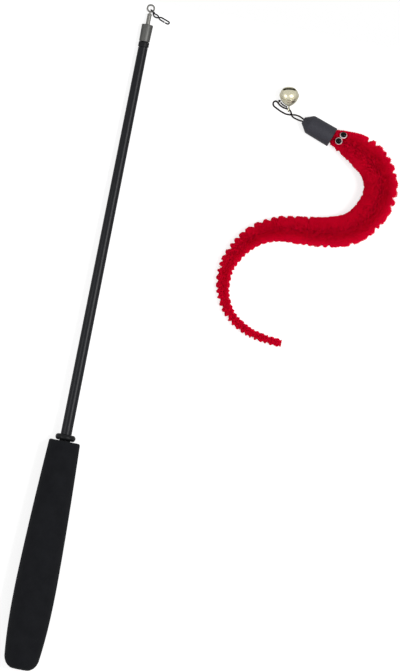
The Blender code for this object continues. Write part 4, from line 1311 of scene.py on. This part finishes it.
@dataclass
class CordLoop:
    """The cord from the knot in the cap out through the bell's loop and back, and its short tie.

    The routes are across and along from the cap's nose, and above the table.
    """

    cap: LureCap
    diameter: float = 0.0011
    tie_diameter: float = 0.0010
    tie_knot_diameter: float = 0.0017
    tie_knot_strand: float = 0.21
    lay_length: float = 0.0026
    step: float = 0.00022
    length: float = 0.0555
    route: Route = (
        (0.0041, -0.0007, 0.00605), (0.0023, -0.0001, 0.00605), (0.00025, 0.00065, 0.006),
        (-0.0009, 0.00125, 0.0056), (-0.0022, 0.0018, 0.00495), (-0.0038, 0.0022, 0.0042),
        (-0.0055, 0.0023, 0.0034), (-0.00735, 0.0020, 0.0026), (-0.00925, 0.0018, 0.0017),
        (-0.0106, 0.0019, 0.00105), (-0.0119, 0.0022, 0.0007), (-0.0133, 0.00265, 0.0006),
        (-0.0147, 0.0032, 0.0006), (-0.0172, 0.0044, 0.0006), (-0.0185, 0.0051, 0.0006),
        (-0.0192, 0.0063, 0.0006), (-0.0190, 0.0076, 0.00065), (-0.0180, 0.0082, 0.0008),
        (-0.0170, 0.0079, 0.001), (-0.0160, 0.0070, 0.0012), (-0.0150, 0.0062, 0.00135),
        (-0.0137, 0.0056, 0.0015), (-0.0124, 0.0052, 0.0016), (-0.0110, 0.00505, 0.0016),
        (-0.0095, 0.0048, 0.0016), (-0.0084, 0.0042, 0.0014), (-0.0078, 0.0033, 0.00125),
        (-0.0074, 0.0023, 0.0012), (-0.0067, 0.0013, 0.00145), (-0.0056, 0.0006, 0.0021),
        (-0.0044, 0.0002, 0.0031), (-0.0031, -0.0002, 0.0043), (-0.0015, -0.0005, 0.0055),
        (-0.00022, -0.00066, 0.006), (0.0018, -0.0014, 0.00605), (0.00365, -0.00202, 0.00605),
    )
    tie_route: Route = (
        (-0.01075, 0.0059, 0.0027), (-0.0119, 0.0063, 0.0026), (-0.0131, 0.0067, 0.0025),
        (-0.0142, 0.0073, 0.00245), (-0.0151, 0.0080, 0.00245),
    )

    def line(self, route: Route) -> list[Vector]:
        """A route as a smooth line in the world."""
        origin = Vector((*self.cap.nose_place, FLOOR))
        return smooth_line([origin + Vector(point) for point in route], self.step)

    def strand(self, name: str, shape: Shape, node: str) -> Piece:
        """Add a piece of cord on the lure's head."""
        return add_shape(name, shape, Finishes.CORD, "lure_head", node, sharp=STRAND_SHARP)

    def build(self) -> None:
        """Twist the cord and the tie, and knot the tie's end."""
        line = self.line(self.route)
        shape = strand_tube(line, self.diameter / 2, 8, 3, self.lay_length)
        cord = self.strand("twisted_cord", shape, "cord_loop")
        tie_line = self.line(self.tie_route)
        shape = strand_tube(tie_line, self.tie_diameter / 2, 8, 2, self.lay_length)
        tie = self.strand("tie_thread", shape, "bell_tie")
        knot = self.strand("thread_knot", self.tie_knot(tie_line), "tie_knot")

    def tie_knot(self, tie_line: list[Vector]) -> Shape:
        """A small overhand knot at the end of the thread.

        Args:
            tie_line: the thread's middle line.

        Returns:
            The knot's shape.
        """
        away = (tie_line[-1] - tie_line[-2]).normalized()
        centre = tie_line[-1] + away * (self.tie_knot_diameter / 2 + FIT_GAP / 2)
        strand = self.tie_knot_diameter * self.tie_knot_strand
        reach = (self.tie_knot_diameter / 2 - strand) / 3
        steps = 72
        line = []
        for t in (tau * step / steps for step in range(steps + 1)):
            x = sin(t) + 2 * sin(2 * t)
            y = cos(t) - 2 * cos(2 * t)
            line.append(centre + Vector((x, y, -sin(3 * t))) * reach)
        return strand_tube(line, strand, 10)


@dataclass
class JingleBell:
    """The two pressed half shells with a crimped lip, the riveted loop and the loose pellet."""

    cap: LureCap
    from_nose: tuple[float, float] = (-0.0109, 0.01275)
    diameter: float = 0.0109
    slit_depth: float = 0.0045
    slit_point: float = 0.6
    shank_depth: float = 0.0072
    shank_point: float = 1.6
    wall: float = 0.00045
    pole_heading: float = radians(100)
    pole_rise: float = radians(33)
    slit_width: float = 0.0020
    slit_reach: float = 0.0026
    slit_foot: float = 0.0014
    slit_end: float = 0.0025
    lip_width: float = 0.0004
    lip_proud: float = 0.0003
    rivet_hole: float = 0.0016
    loop_stand: float = 0.0009
    cord_heading: float = radians(-15)
    sides: int = 96
    steps: int = 30
    loop: PinnedRing = field(
        default_factory=lambda: PinnedRing(0.0031, 0.0006, 0.0009, 0.0024, 0.0005)
    )

    def reach(self) -> float:
        """How far the middle of the loop is from the middle of the bell."""
        return self.shank_depth + self.loop_stand + self.loop.ring_diameter / 2

    def centre(self) -> Vector:
        """The middle of the bell, which leans on its loop.

        Returns:
            Its place in the world.
        """
        loop_height = FLOOR + self.loop.ring_diameter / 2 + LIE_GAP
        height = loop_height + self.reach() * sin(self.pole_rise)
        nose = self.cap.nose_place
        return Vector((nose[0] + self.from_nose[0], nose[1] + self.from_nose[1], height))

    def pole(self) -> Vector:
        """The direction from the loop through the middle and out of the slit.

        Returns:
            A unit direction in the world.
        """
        flat = cos(self.pole_rise)
        x = flat * cos(self.pole_heading)
        y = flat * sin(self.pole_heading)
        return Vector((x, y, sin(self.pole_rise)))

    def matrix(self) -> Matrix:
        """The bell's frame: Z is its pole and X is level, along the slit.

        Returns:
            The frame.
        """
        pole = self.pole()
        across = pole.cross(UP).normalized()
        return axes_matrix(self.centre(), across, pole.cross(across), pole)

    def loop_matrix(self) -> Matrix:
        """The loop's frame: Z points away from the slit, and the cord runs along its Y.

        Returns:
            The frame.
        """
        up = self.pole() * -1
        cord = level(self.cord_heading)
        side = (cord - up * cord.dot(up)).normalized()
        return axes_matrix(self.centre(), side.cross(up), side, up)

    def shell(self, deep: float, point: float, hole: float) -> Outline:
        """Half of the bell, from its pole to its lip and back along the inside.

        Args:
            deep: the distance from the lip to the pole.
            point: 1 for an elliptical side, more for a sharper pole, less for a blunter one.
            hole: the radius of the round hole at the pole, or 0.

        Returns:
            (radius, height) points.
        """
        outer = self.diameter / 2
        inner = outer - self.wall
        low = FIT_GAP / 2
        lip = self.lip_width / 2
        top = acos((hole / outer) ** (1 / point))
        outline = self.side(outer, deep, point, top, asin((low + self.lip_width) / deep))
        outline += arc((outer + self.lip_proud - lip, low + lip), (lip, lip), QUARTER, -QUARTER, 6)
        hollow = deep - self.wall
        top = acos((hole / inner) ** (1 / point))
        return outline + self.side(inner, hollow, point, asin(low / hollow), top)

    def side(self, across: float, deep: float, point: float, start: float, end: float) -> Outline:
        """The run of a half shell's side between two angles."""
        angles = [start + (end - start) * step / self.steps for step in range(self.steps + 1)]
        return [(across * max(cos(a), 0.0) ** point, deep * sin(a)) for a in angles]

    def build(self) -> None:
        """Make the shells, the loop and the pellet's finish."""
        loop_side = self.shell(self.shank_depth, self.shank_point, self.rivet_hole / 2)
        shells = []
        for name, outline, node in (
            ("slit_shell", self.shell(self.slit_depth, self.slit_point, 0.0), "bell_slit_half"),
            ("loop_shell", [(radius, -height) for radius, height in loop_side], "bell_shank_half"),
        ):
            shape = turned(outline, self.sides)
            shells.append(add_shape(name, shape, Finishes.NICKEL, "bell", node, self.matrix()))
        carve(shells[0], self.slit_cutter(), "DIFFERENCE")
        inner = self.diameter / 2 - self.wall
        head_angle = acos((self.loop.head_diameter / 2 / inner) ** (1 / self.shank_point))
        head_top = (self.shank_depth - self.wall) * sin(head_angle) - FIT_GAP
        looks = ("bell_ring", Finishes.NICKEL, "bell", "bell_loop", self.loop_matrix())
        self.loop.build(*looks, self.reach(), head_top)
        dress_node("bell_pellet", Finishes.PELLET)

    def slit_cutter(self) -> Mesh:
        """A bar across the pole with a round post at each end.

        Returns:
            The cutter's mesh, in the shell's frame.
        """
        half = self.slit_width / 2
        end = self.slit_end / 2
        start = atan2(half, sqrt(end**2 - half**2))
        post_steps = 28
        shape = bmesh.new()
        base = []
        for side in (1, -1):
            for step in range(post_steps + 1):
                angle = pi - start - (tau - 2 * start) * step / post_steps
                x = side * (self.slit_reach + end * cos(angle))
                y = side * end * sin(angle)
                base.append(shape.verts.new((x, y, self.slit_foot)))
        grown = bmesh.ops.extrude_face_region(shape, geom=[shape.faces.new(base)])
        moved = [item for item in grown["geom"] if isinstance(item, bmesh.types.BMVert)]
        bmesh.ops.translate(shape, vec=(0.0, 0.0, self.slit_depth), verts=moved)
        return smooth_mesh("slit_bar", shape)


@dataclass
class Stem:
    """The worm's middle line from inside the cap to the end of its tail, and its pile's radius."""

    cap: LureCap
    in_cap: float = 0.009
    carried_to: float = 0.009
    spacing: float = 0.0005
    route: Route = (
        (0.0072, -0.0014), (0.0167, -0.0043), (0.0283, -0.0118), (0.0341, -0.0249),
        (0.0310, -0.0387), (0.0220, -0.0503), (0.0086, -0.0553), (-0.0055, -0.0573),
        (-0.0196, -0.0589), (-0.0323, -0.0648), (-0.0416, -0.0755), (-0.0466, -0.0884),
        (-0.0453, -0.1028), (-0.0382, -0.1147), (-0.0260, -0.1221), (-0.0130, -0.1247),
        (-0.0060, -0.1250),
    )
    # Distances from the cap's mouth, and the pile's radius there.
    radius_at: Route = (
        (0.0002, 0.0041), (0.0006, 0.0050), (0.0045, 0.0058), (0.009, 0.0068), (0.015, 0.0083),
        (0.022, 0.0093), (0.050, 0.0093), (0.080, 0.0087), (0.106, 0.0077), (0.135, 0.0059),
        (0.160, 0.0044), (0.185, 0.0031), (0.225, 0.0023),
    )
    marks: Array = field(init=False)
    places: Array = field(init=False)
    aheads: Array = field(init=False)
    turning: Array = field(init=False)
    length: float = field(init=False)

    def __post_init__(self) -> None:
        """Work out the middle line's places, headings and bends at even distances."""
        mouth = self.cap.mouth().to_2d()
        ahead = level(self.cap.heading).to_2d()
        beyond = [mouth + Vector(point) for point in self.route]
        line = smooth_line([mouth - ahead * self.in_cap, mouth, *beyond], self.spacing)
        flat = np.array(line)
        steps = np.linalg.norm(np.diff(flat, axis=0), axis=1)
        self.marks = np.concatenate(([0.0], np.cumsum(steps))) - self.in_cap
        self.length = float(self.marks[-1])
        heading = np.gradient(flat, self.marks, axis=0)
        either_way = 4
        smooth = np.ones(2 * either_way + 1) / (2 * either_way + 1)
        for axis in range(2):
            padded = np.pad(heading[:, axis], either_way, mode="edge")
            heading[:, axis] = np.convolve(padded, smooth, mode="valid")
        heading = unit_rows(heading)
        angle = np.unwrap(np.arctan2(heading[:, 1], heading[:, 0]))
        self.turning = np.gradient(angle, self.marks)
        heights = FLOOR + LIE_GAP + self.rest_radius(self.marks)
        self.places = np.column_stack((flat, heights))
        self.aheads = np.column_stack((heading, np.zeros(len(heading))))

    def radius(self, along: Array) -> Array:
        """The pile's radius at distances from the cap's mouth."""
        return np.interp(along, *zip(*self.radius_at))

    def rest_radius(self, along: Array) -> Array:
        """How far the middle line is above the table."""
        carried = np.maximum(self.cap.diameter / 2, self.radius(along))
        return np.where(along < self.carried_to, carried, self.radius(along))

    def at(self, along: Array) -> tuple[Array, Array, Array, Array]:
        """The stem at distances from the cap's mouth.

        Args:
            along: the distances.

        Returns:
            Places, headings, left-hand directions and how fast the heading turns.
        """
        places = read_columns(along, self.marks, self.places)
        aheads = unit_rows(read_columns(along, self.marks, self.aheads))
        lefts = np.column_stack((-aheads[:, 1], aheads[:, 0], np.zeros(len(aheads))))
        return places, aheads, lefts, np.interp(along, self.marks, self.turning)


@dataclass
class Eyes:
    """The two stuck-on eyes: white backs with domed black pupils."""

    stem: Stem
    back_diameter: float = 0.0042
    back_thickness: float = 0.0011
    pupil_diameter: float = 0.0036
    pupil_height: float = 0.0012
    stand: float = 0.0005
    tip: float = radians(5)
    # Each eye's distance from the mouth, its angle round the worm and how far it leans.
    spots: Route = (
        (0.0043, radians(-7), radians(-2)),
        (0.0056, radians(29.5), radians(20)),
    )
    sides: int = 64

    def frames(self) -> list[Matrix]:
        """Each eye's frame: Z points out of its pupil.

        Returns:
            The frames, one for each spot.
        """
        found = []
        for beyond, round_worm, lean in self.spots:
            places, aheads, lefts, _ = self.stem.at(np.array([beyond]))
            middle, ahead, left = Vector(places[0]), Vector(aheads[0]), Vector(lefts[0])
            out = UP * cos(round_worm) + left * sin(round_worm)
            place = middle + out * (float(self.stem.radius(beyond)) + self.stand)
            leaning = UP * cos(lean) + left * sin(lean)
            up = (leaning * cos(self.tip) - ahead * sin(self.tip)).normalized()
            forwards = left.cross(up).normalized()
            found.append(axes_matrix(place, forwards, up.cross(forwards), up))
        return found

    def build(self) -> None:
        """Turn both eyes and set them where their solids stand."""
        soft = self.back_thickness / 2
        edge = arc((self.back_diameter / 2 - soft, soft), (soft, soft), -QUARTER, QUARTER, 16)
        back = [(0.0, 0.0), *edge, (0.0, self.back_thickness)]
        foot = self.back_thickness + FIT_GAP / 2
        dome = arc((0.0, foot), (self.pupil_diameter / 2, self.pupil_height), 0.0, QUARTER, 20)
        pupil = [(0.0, foot), *dome]
        for number, place in enumerate(self.frames(), start=1):
            for name, outline, finish, node in (
                (f"eye_disc_{number}", back, Finishes.EYE_BACK, f"eye_back_{number}"),
                (f"eye_dome_{number}", pupil, Finishes.PUPIL, f"eye_pupil_{number}"),
            ):
                add_shape(name, turned(outline, self.sides), finish, "lure_head", node, place)


@dataclass
class Notches:
    """The gaps between the pile's tufts: grooves that wind over the worm from side to side.

    The first ones are given by their distance from the mouth and their depths at the left and at
    the right edge. The others follow at an even pitch, deeper on the outside of a bend.
    """

    stem: Stem
    draw: np.random.Generator
    first: Route = (
        (0.0020, 0.0, 0.0), (0.0068, 0.0, 0.0013), (0.0120, 0.0, 0.0002), (0.0150, 0.0, 0.0010),
        (0.0187, 0.0032, 0.0006), (0.0230, 0.0028, 0.0), (0.0272, 0.001, 0.0),
        (0.0297, 0.0028, 0.0), (0.0330, 0.002, 0.0002), (0.0370, 0.0035, 0.0),
        (0.0402, 0.001, 0.0), (0.0446, 0.0016, 0.0004), (0.0483, 0.004, 0.0),
        (0.0520, 0.0028, 0.0008), (0.0570, 0.0005, 0.0004), (0.0622, 0.0015, 0.0009),
        (0.0650, 0.0022, 0.0002), (0.0697, 0.0011, 0.0005), (0.0737, 0.0005, 0.0002),
        (0.0774, 0.0021, 0.0004), (0.0830, 0.0006, 0.0002), (0.0890, 0.0016, 0.0003),
    )
    pitch_body: float = 0.0046
    pitch_end: float = 0.0030
    outer_depth: float = 0.0017
    inner_depth: float = 0.0003
    turning_radius: float = 0.03
    steep_side: float = 0.0008
    slow_side: float = 0.0019
    edge_angle: float = radians(52)
    thin_from: float = 0.110
    thin_full: float = 0.160
    thin_share: float = 0.15
    over_share: float = 0.5
    places: Array = field(init=False)
    lefts: Array = field(init=False)
    rights: Array = field(init=False)
    shades: Array = field(init=False)

    def __post_init__(self) -> None:
        """Lay out the notches from the mouth to past the tail."""
        rows = list(self.first)
        start = place = rows[-1][0]
        run = self.stem.length - start
        spread = self.outer_depth - self.inner_depth
        while place < self.stem.length + self.pitch_body:
            share = min((place - start) / run, 1.0)
            pitch = self.pitch_body + (self.pitch_end - self.pitch_body) * share
            place += pitch * self.draw.uniform(0.75, 1.25)
            turning = float(self.stem.at(np.array([place]))[3][0]) * self.turning_radius
            outside = min(max(0.5 - turning, 0.0), 1.0)
            depth = self.draw.uniform(0.3, 1.3)
            left = depth * (self.inner_depth + spread * outside)
            right = depth * (self.inner_depth + spread * (1 - outside))
            rows.append((place, left, right))
        self.places, self.lefts, self.rights = np.array(rows).T
        self.shades = self.draw.uniform(0.0, 1.0, len(rows))

    def depth(self, along: Array, angle: Array, radius: Array) -> tuple[Array, Array]:
        """How far the pile stands back at places on the worm.

        Args:
            along: distances from the mouth.
            angle: angles round the stem, from its left over its top.
            radius: the pile's full radius at each place.

        Returns:
            The depths, and the shades of the tufts.
        """
        side = np.where(angle > pi, tau - angle, angle)
        crossing = np.clip((side - self.edge_angle) / (pi - 2 * self.edge_angle), 0, 1)
        last = len(self.places) - 2
        count = np.interp(along, self.places, np.arange(len(self.places))) - crossing
        near = np.clip(np.round(count).astype(int), 0, last)
        off = count - near
        after = self.places[near + 1] - self.places[near]
        before = self.places[near] - self.places[np.maximum(near - 1, 0)]
        away = off * np.where(off > 0, after, before)
        groove = 1 - np.where(away > 0, away / self.slow_side, -away / self.steep_side)
        left_share = 0.5 + 0.5 * np.cos(side)
        deep = self.lefts[near] * left_share + self.rights[near + 1] * (1 - left_share)
        deep = deep * np.abs(np.cos(side)) ** 1.5
        thin = np.clip((along - self.thin_from) / (self.thin_full - self.thin_from), 0, 1)
        over = np.clip(np.sin(angle), 0, 1) ** 3
        deep = deep + thin * (self.thin_share + self.over_share * over) * radius
        tuft = np.clip(np.floor(count).astype(int), 0, last)
        return deep * np.clip(groove, 0, 1), self.shades[tuft]


@dataclass
class Worm:
    """The chenille worm: a twisted wire pair that grips a helix of cut pile.

    Each piece runs from the middle of one link to the middle of the next.
    """

    stem: Stem
    eyes: Eyes
    links: int = 8
    pile_start: float = -0.002
    wire_start: float = -0.001
    bend_half_length: float = 0.006
    visible_share: float = 1.075
    fibres_per_mm: float = 520.0
    fibre_width: float = 0.00024
    tip_share: float = 0.75
    root_radius: float = 0.0009
    edge_lean: float = tan(radians(4.5))
    back_lean: float = tan(radians(20))
    least_reach: float = 0.15
    full_from: float = 0.0085
    least_share: float = 0.42
    unevenness: float = 0.022
    mouth_reach: float = 0.0043
    end_gap: float = 0.0002
    tuft_share: float = 0.45
    head_tuft: tuple[float, float, float] = (0.0052, 0.0017, 0.0014)
    eye_gap: float = 0.00012
    eye_margin: float = 0.0010
    wire_diameter: float = 0.0014
    wire_lay: float = 0.0055
    wire_step: float = 0.0004
    seed: int = 11

    def build(self) -> None:
        """Make the worm's pieces from its head to its tail."""
        stem = self.stem
        middles = [stem.length * (link + 0.5) / self.links for link in range(self.links)]
        ends = [self.pile_start, *middles, stem.length]
        notches = Notches(stem, np.random.default_rng(self.seed))
        for number, (start, end) in enumerate(zip(ends, ends[1:])):
            pile = self.pile_mesh(f"pile_{number}", start, end, notches)
            self.settle(pile, f"pile_{number}", Finishes.PILE, number, f"worm_pile_{number}")
            first = max(start, self.wire_start)
            marks = np.linspace(first, end, max(8, int((end - first) / self.wire_step)))
            line = [Vector(place) for place in stem.at(marks)[0]]
            shape = strand_tube(line, self.wire_diameter / 2, 8, 2, self.wire_lay)
            data = smooth_mesh(f"wire_{number}", shape, STRAND_SHARP)
            self.settle(data, f"wire_{number}", Finishes.CORE, number, f"worm_core_{number}")

    def body_of(self, link: int) -> str:
        """The body that a link belongs to."""
        return "lure_head" if link == 0 else f"worm_{link}"

    def settle(self, data: Mesh, name: str, finish: Finishes, number: int, node: str) -> None:
        """Put a piece on its link, or leave one that lies between two links unattached, in the
        world's frame.

        Args:
            data: the piece's mesh, in the world's frame.
            name: the piece's name.
            finish: what it is made of.
            number: which piece it is from the cap.
            node: the node that it replaces, unless it is the last piece.
        """
        node = node if number < self.links else ""
        if number in (0, self.links):
            add_piece(name, data, finish, self.body_of(min(number, self.links - 1)), node)
            return
        piece = add_piece(name, data, finish, "", node)
        hinge = self.stem.length * number / self.links
        reach = self.bend_half_length
        start, end = self.stem.at(np.array([hinge - reach, hinge + reach]))[0]
        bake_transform(piece)
        log.info("%s bends from %s to %s", name, self.body_of(number - 1), self.body_of(number))

    def pile_mesh(self, name: str, start: float, end: float, notches: Notches) -> Mesh:
        """Grow the cut fibres of one stretch, each a three-sided thread with a cut tip.

        Args:
            name: the mesh's name.
            start: where the stretch starts, from the mouth.
            end: where it ends.
            notches: the gaps between the tufts, and the source of random numbers.

        Returns:
            The mesh, in the world's frame.
        """
        draw = notches.draw
        count = int((end - start) / MM * self.fibres_per_mm)
        along = draw.uniform(start, end, count)
        thinned = np.clip(self.stem.radius(along) / self.full_from, self.least_share, 1)
        along = along[draw.uniform(0, 1, count) < thinned]
        count = len(along)
        angle = draw.uniform(0, tau, count)
        loose = self.edge_lean + (self.back_lean - self.edge_lean) * np.sin(angle) ** 2
        lean = draw.normal(0, 1, count) * loose
        sway = draw.normal(0, 1, count) * loose
        uneven = draw.normal(1.0, self.unevenness, count)
        roots, aheads, lefts, _ = self.stem.at(along)
        out = lefts * np.cos(angle)[:, None] + np.array(UP) * np.sin(angle)[:, None]
        side = np.cross(aheads, out)
        tip_along = along + lean * self.stem.radius(along)
        tip_along = np.minimum(tip_along, self.stem.length + self.end_gap)
        radius = self.stem.radius(tip_along) * self.visible_share
        middle, width, proud = self.head_tuft
        right = np.maximum(-np.cos(angle), 0) ** 2
        radius += proud * right * np.clip(1 - np.abs(tip_along - middle) / width, 0, 1)
        depth, tuft_shade = notches.depth(tip_along, angle, radius)
        reach = np.maximum(radius - depth, radius * self.least_reach)
        reach = np.where(tip_along < FIT_GAP, np.minimum(reach, self.mouth_reach), reach) * uneven
        swept = (out + side * sway[:, None]) / np.sqrt(1 + sway**2)[:, None]
        tips = roots + swept * reach[:, None]
        tips += aheads * (tip_along - along)[:, None]
        bases = roots + out * self.root_radius
        tips = self.keep_clear(bases, tips)
        own_shade = draw.uniform(0, 1, count)
        shade = own_shade + (tuft_shade - own_shade) * self.tuft_share
        return self.fibre_mesh(name, bases, tips, aheads, shade)

    def keep_clear(self, bases: Array, tips: Array) -> Array:
        """Trim fibres under the eyes, and press those at the bottom flat on the table.

        Args:
            bases: the fibres' roots.
            tips: the fibres' tips.

        Returns:
            The tips, moved where they must be.
        """
        tips = tips.copy()
        round_eye = self.eyes.back_diameter / 2 + self.eye_margin
        for place in self.eyes.frames():
            origin = np.array(place.translation)
            normal = np.array(place.col[2].to_3d())
            rise_tip = (tips - origin) @ normal
            rise_base = (bases - origin) @ normal
            aside = np.linalg.norm((tips - origin) - rise_tip[:, None] * normal, axis=1)
            under = (aside < round_eye) & (rise_tip > -self.eye_gap)
            share = (-self.eye_gap - rise_base) / np.maximum(rise_tip - rise_base, NO_LENGTH)
            cut = bases + (tips - bases) * np.clip(share, 0.1, 1.0)[:, None]
            tips[under] = cut[under]
        lowest = FLOOR + LIE_GAP + self.fibre_width * self.tip_share
        tips[:, 2] = np.maximum(tips[:, 2], lowest)
        return tips

    def fibre_mesh(self, name: str, bases: Array, tips: Array, aheads: Array, shade: Array) -> Mesh:
        """Mesh data for three-sided fibres with closed tips.

        Args:
            name: the mesh's name.
            bases: the fibres' roots.
            tips: the fibres' tips.
            aheads: the stem's heading at each root.
            shade: each fibre's shade.

        Returns:
            The mesh, with each fibre's shade and rise as attributes.
        """
        count = len(bases)
        along = unit_rows(tips - bases)
        first = unit_rows(np.cross(along, aheads))
        second = np.cross(along, first)
        points = np.empty((count, 6, 3))
        for corner in range(3):
            turn = tau * corner / 3
            offset = first * cos(turn) + second * sin(turn)
            points[:, corner] = bases + offset * self.fibre_width * 0.5
            points[:, corner + 3] = tips + offset * self.fibre_width * 0.5 * self.tip_share
        start = np.arange(count)[:, None] * 6
        quads = np.array([[0, 1, 4, 3], [1, 2, 5, 4], [2, 0, 3, 5]])
        faces = (start[:, :, None] + quads[None]).reshape(-1, 4).tolist()
        faces += (start + np.array([[3, 4, 5]])).tolist()
        data = bpy.data.meshes.new(name)
        data.from_pydata(points.reshape(-1, 3).tolist(), [], faces)
        data.update()
        rise = np.tile([0.0, 0.0, 0.0, 1.0, 1.0, 1.0], count)
        for attribute, values in ((FIBRE_SHADE, np.repeat(shade, 6)), (FIBRE_RISE, rise)):
            stored = data.attributes.new(attribute, "FLOAT", "POINT")
            stored.data.foreach_set("value", values.astype(np.float32))
        return data


def main() -> None:
    """Build the studio, the cord, and then every sub-assembly."""
    logging.basicConfig(level=logging.INFO, format="%(name)s: %(message)s")
    Studio().build()
    cap = LureCap()
    CordLoop(cap).build()
    cap.build()
    JingleBell(cap).build()
    stem = Stem(cap)
    eyes = Eyes(stem)
    eyes.build()
    Worm(stem, eyes).build()
    axis = wand_axis()
    tip = SwivelTip()
    for part in (Handle(), Sections(), tip, Snap(tip)):
        part.build(axis)


if __name__ == "__main__":
    main()
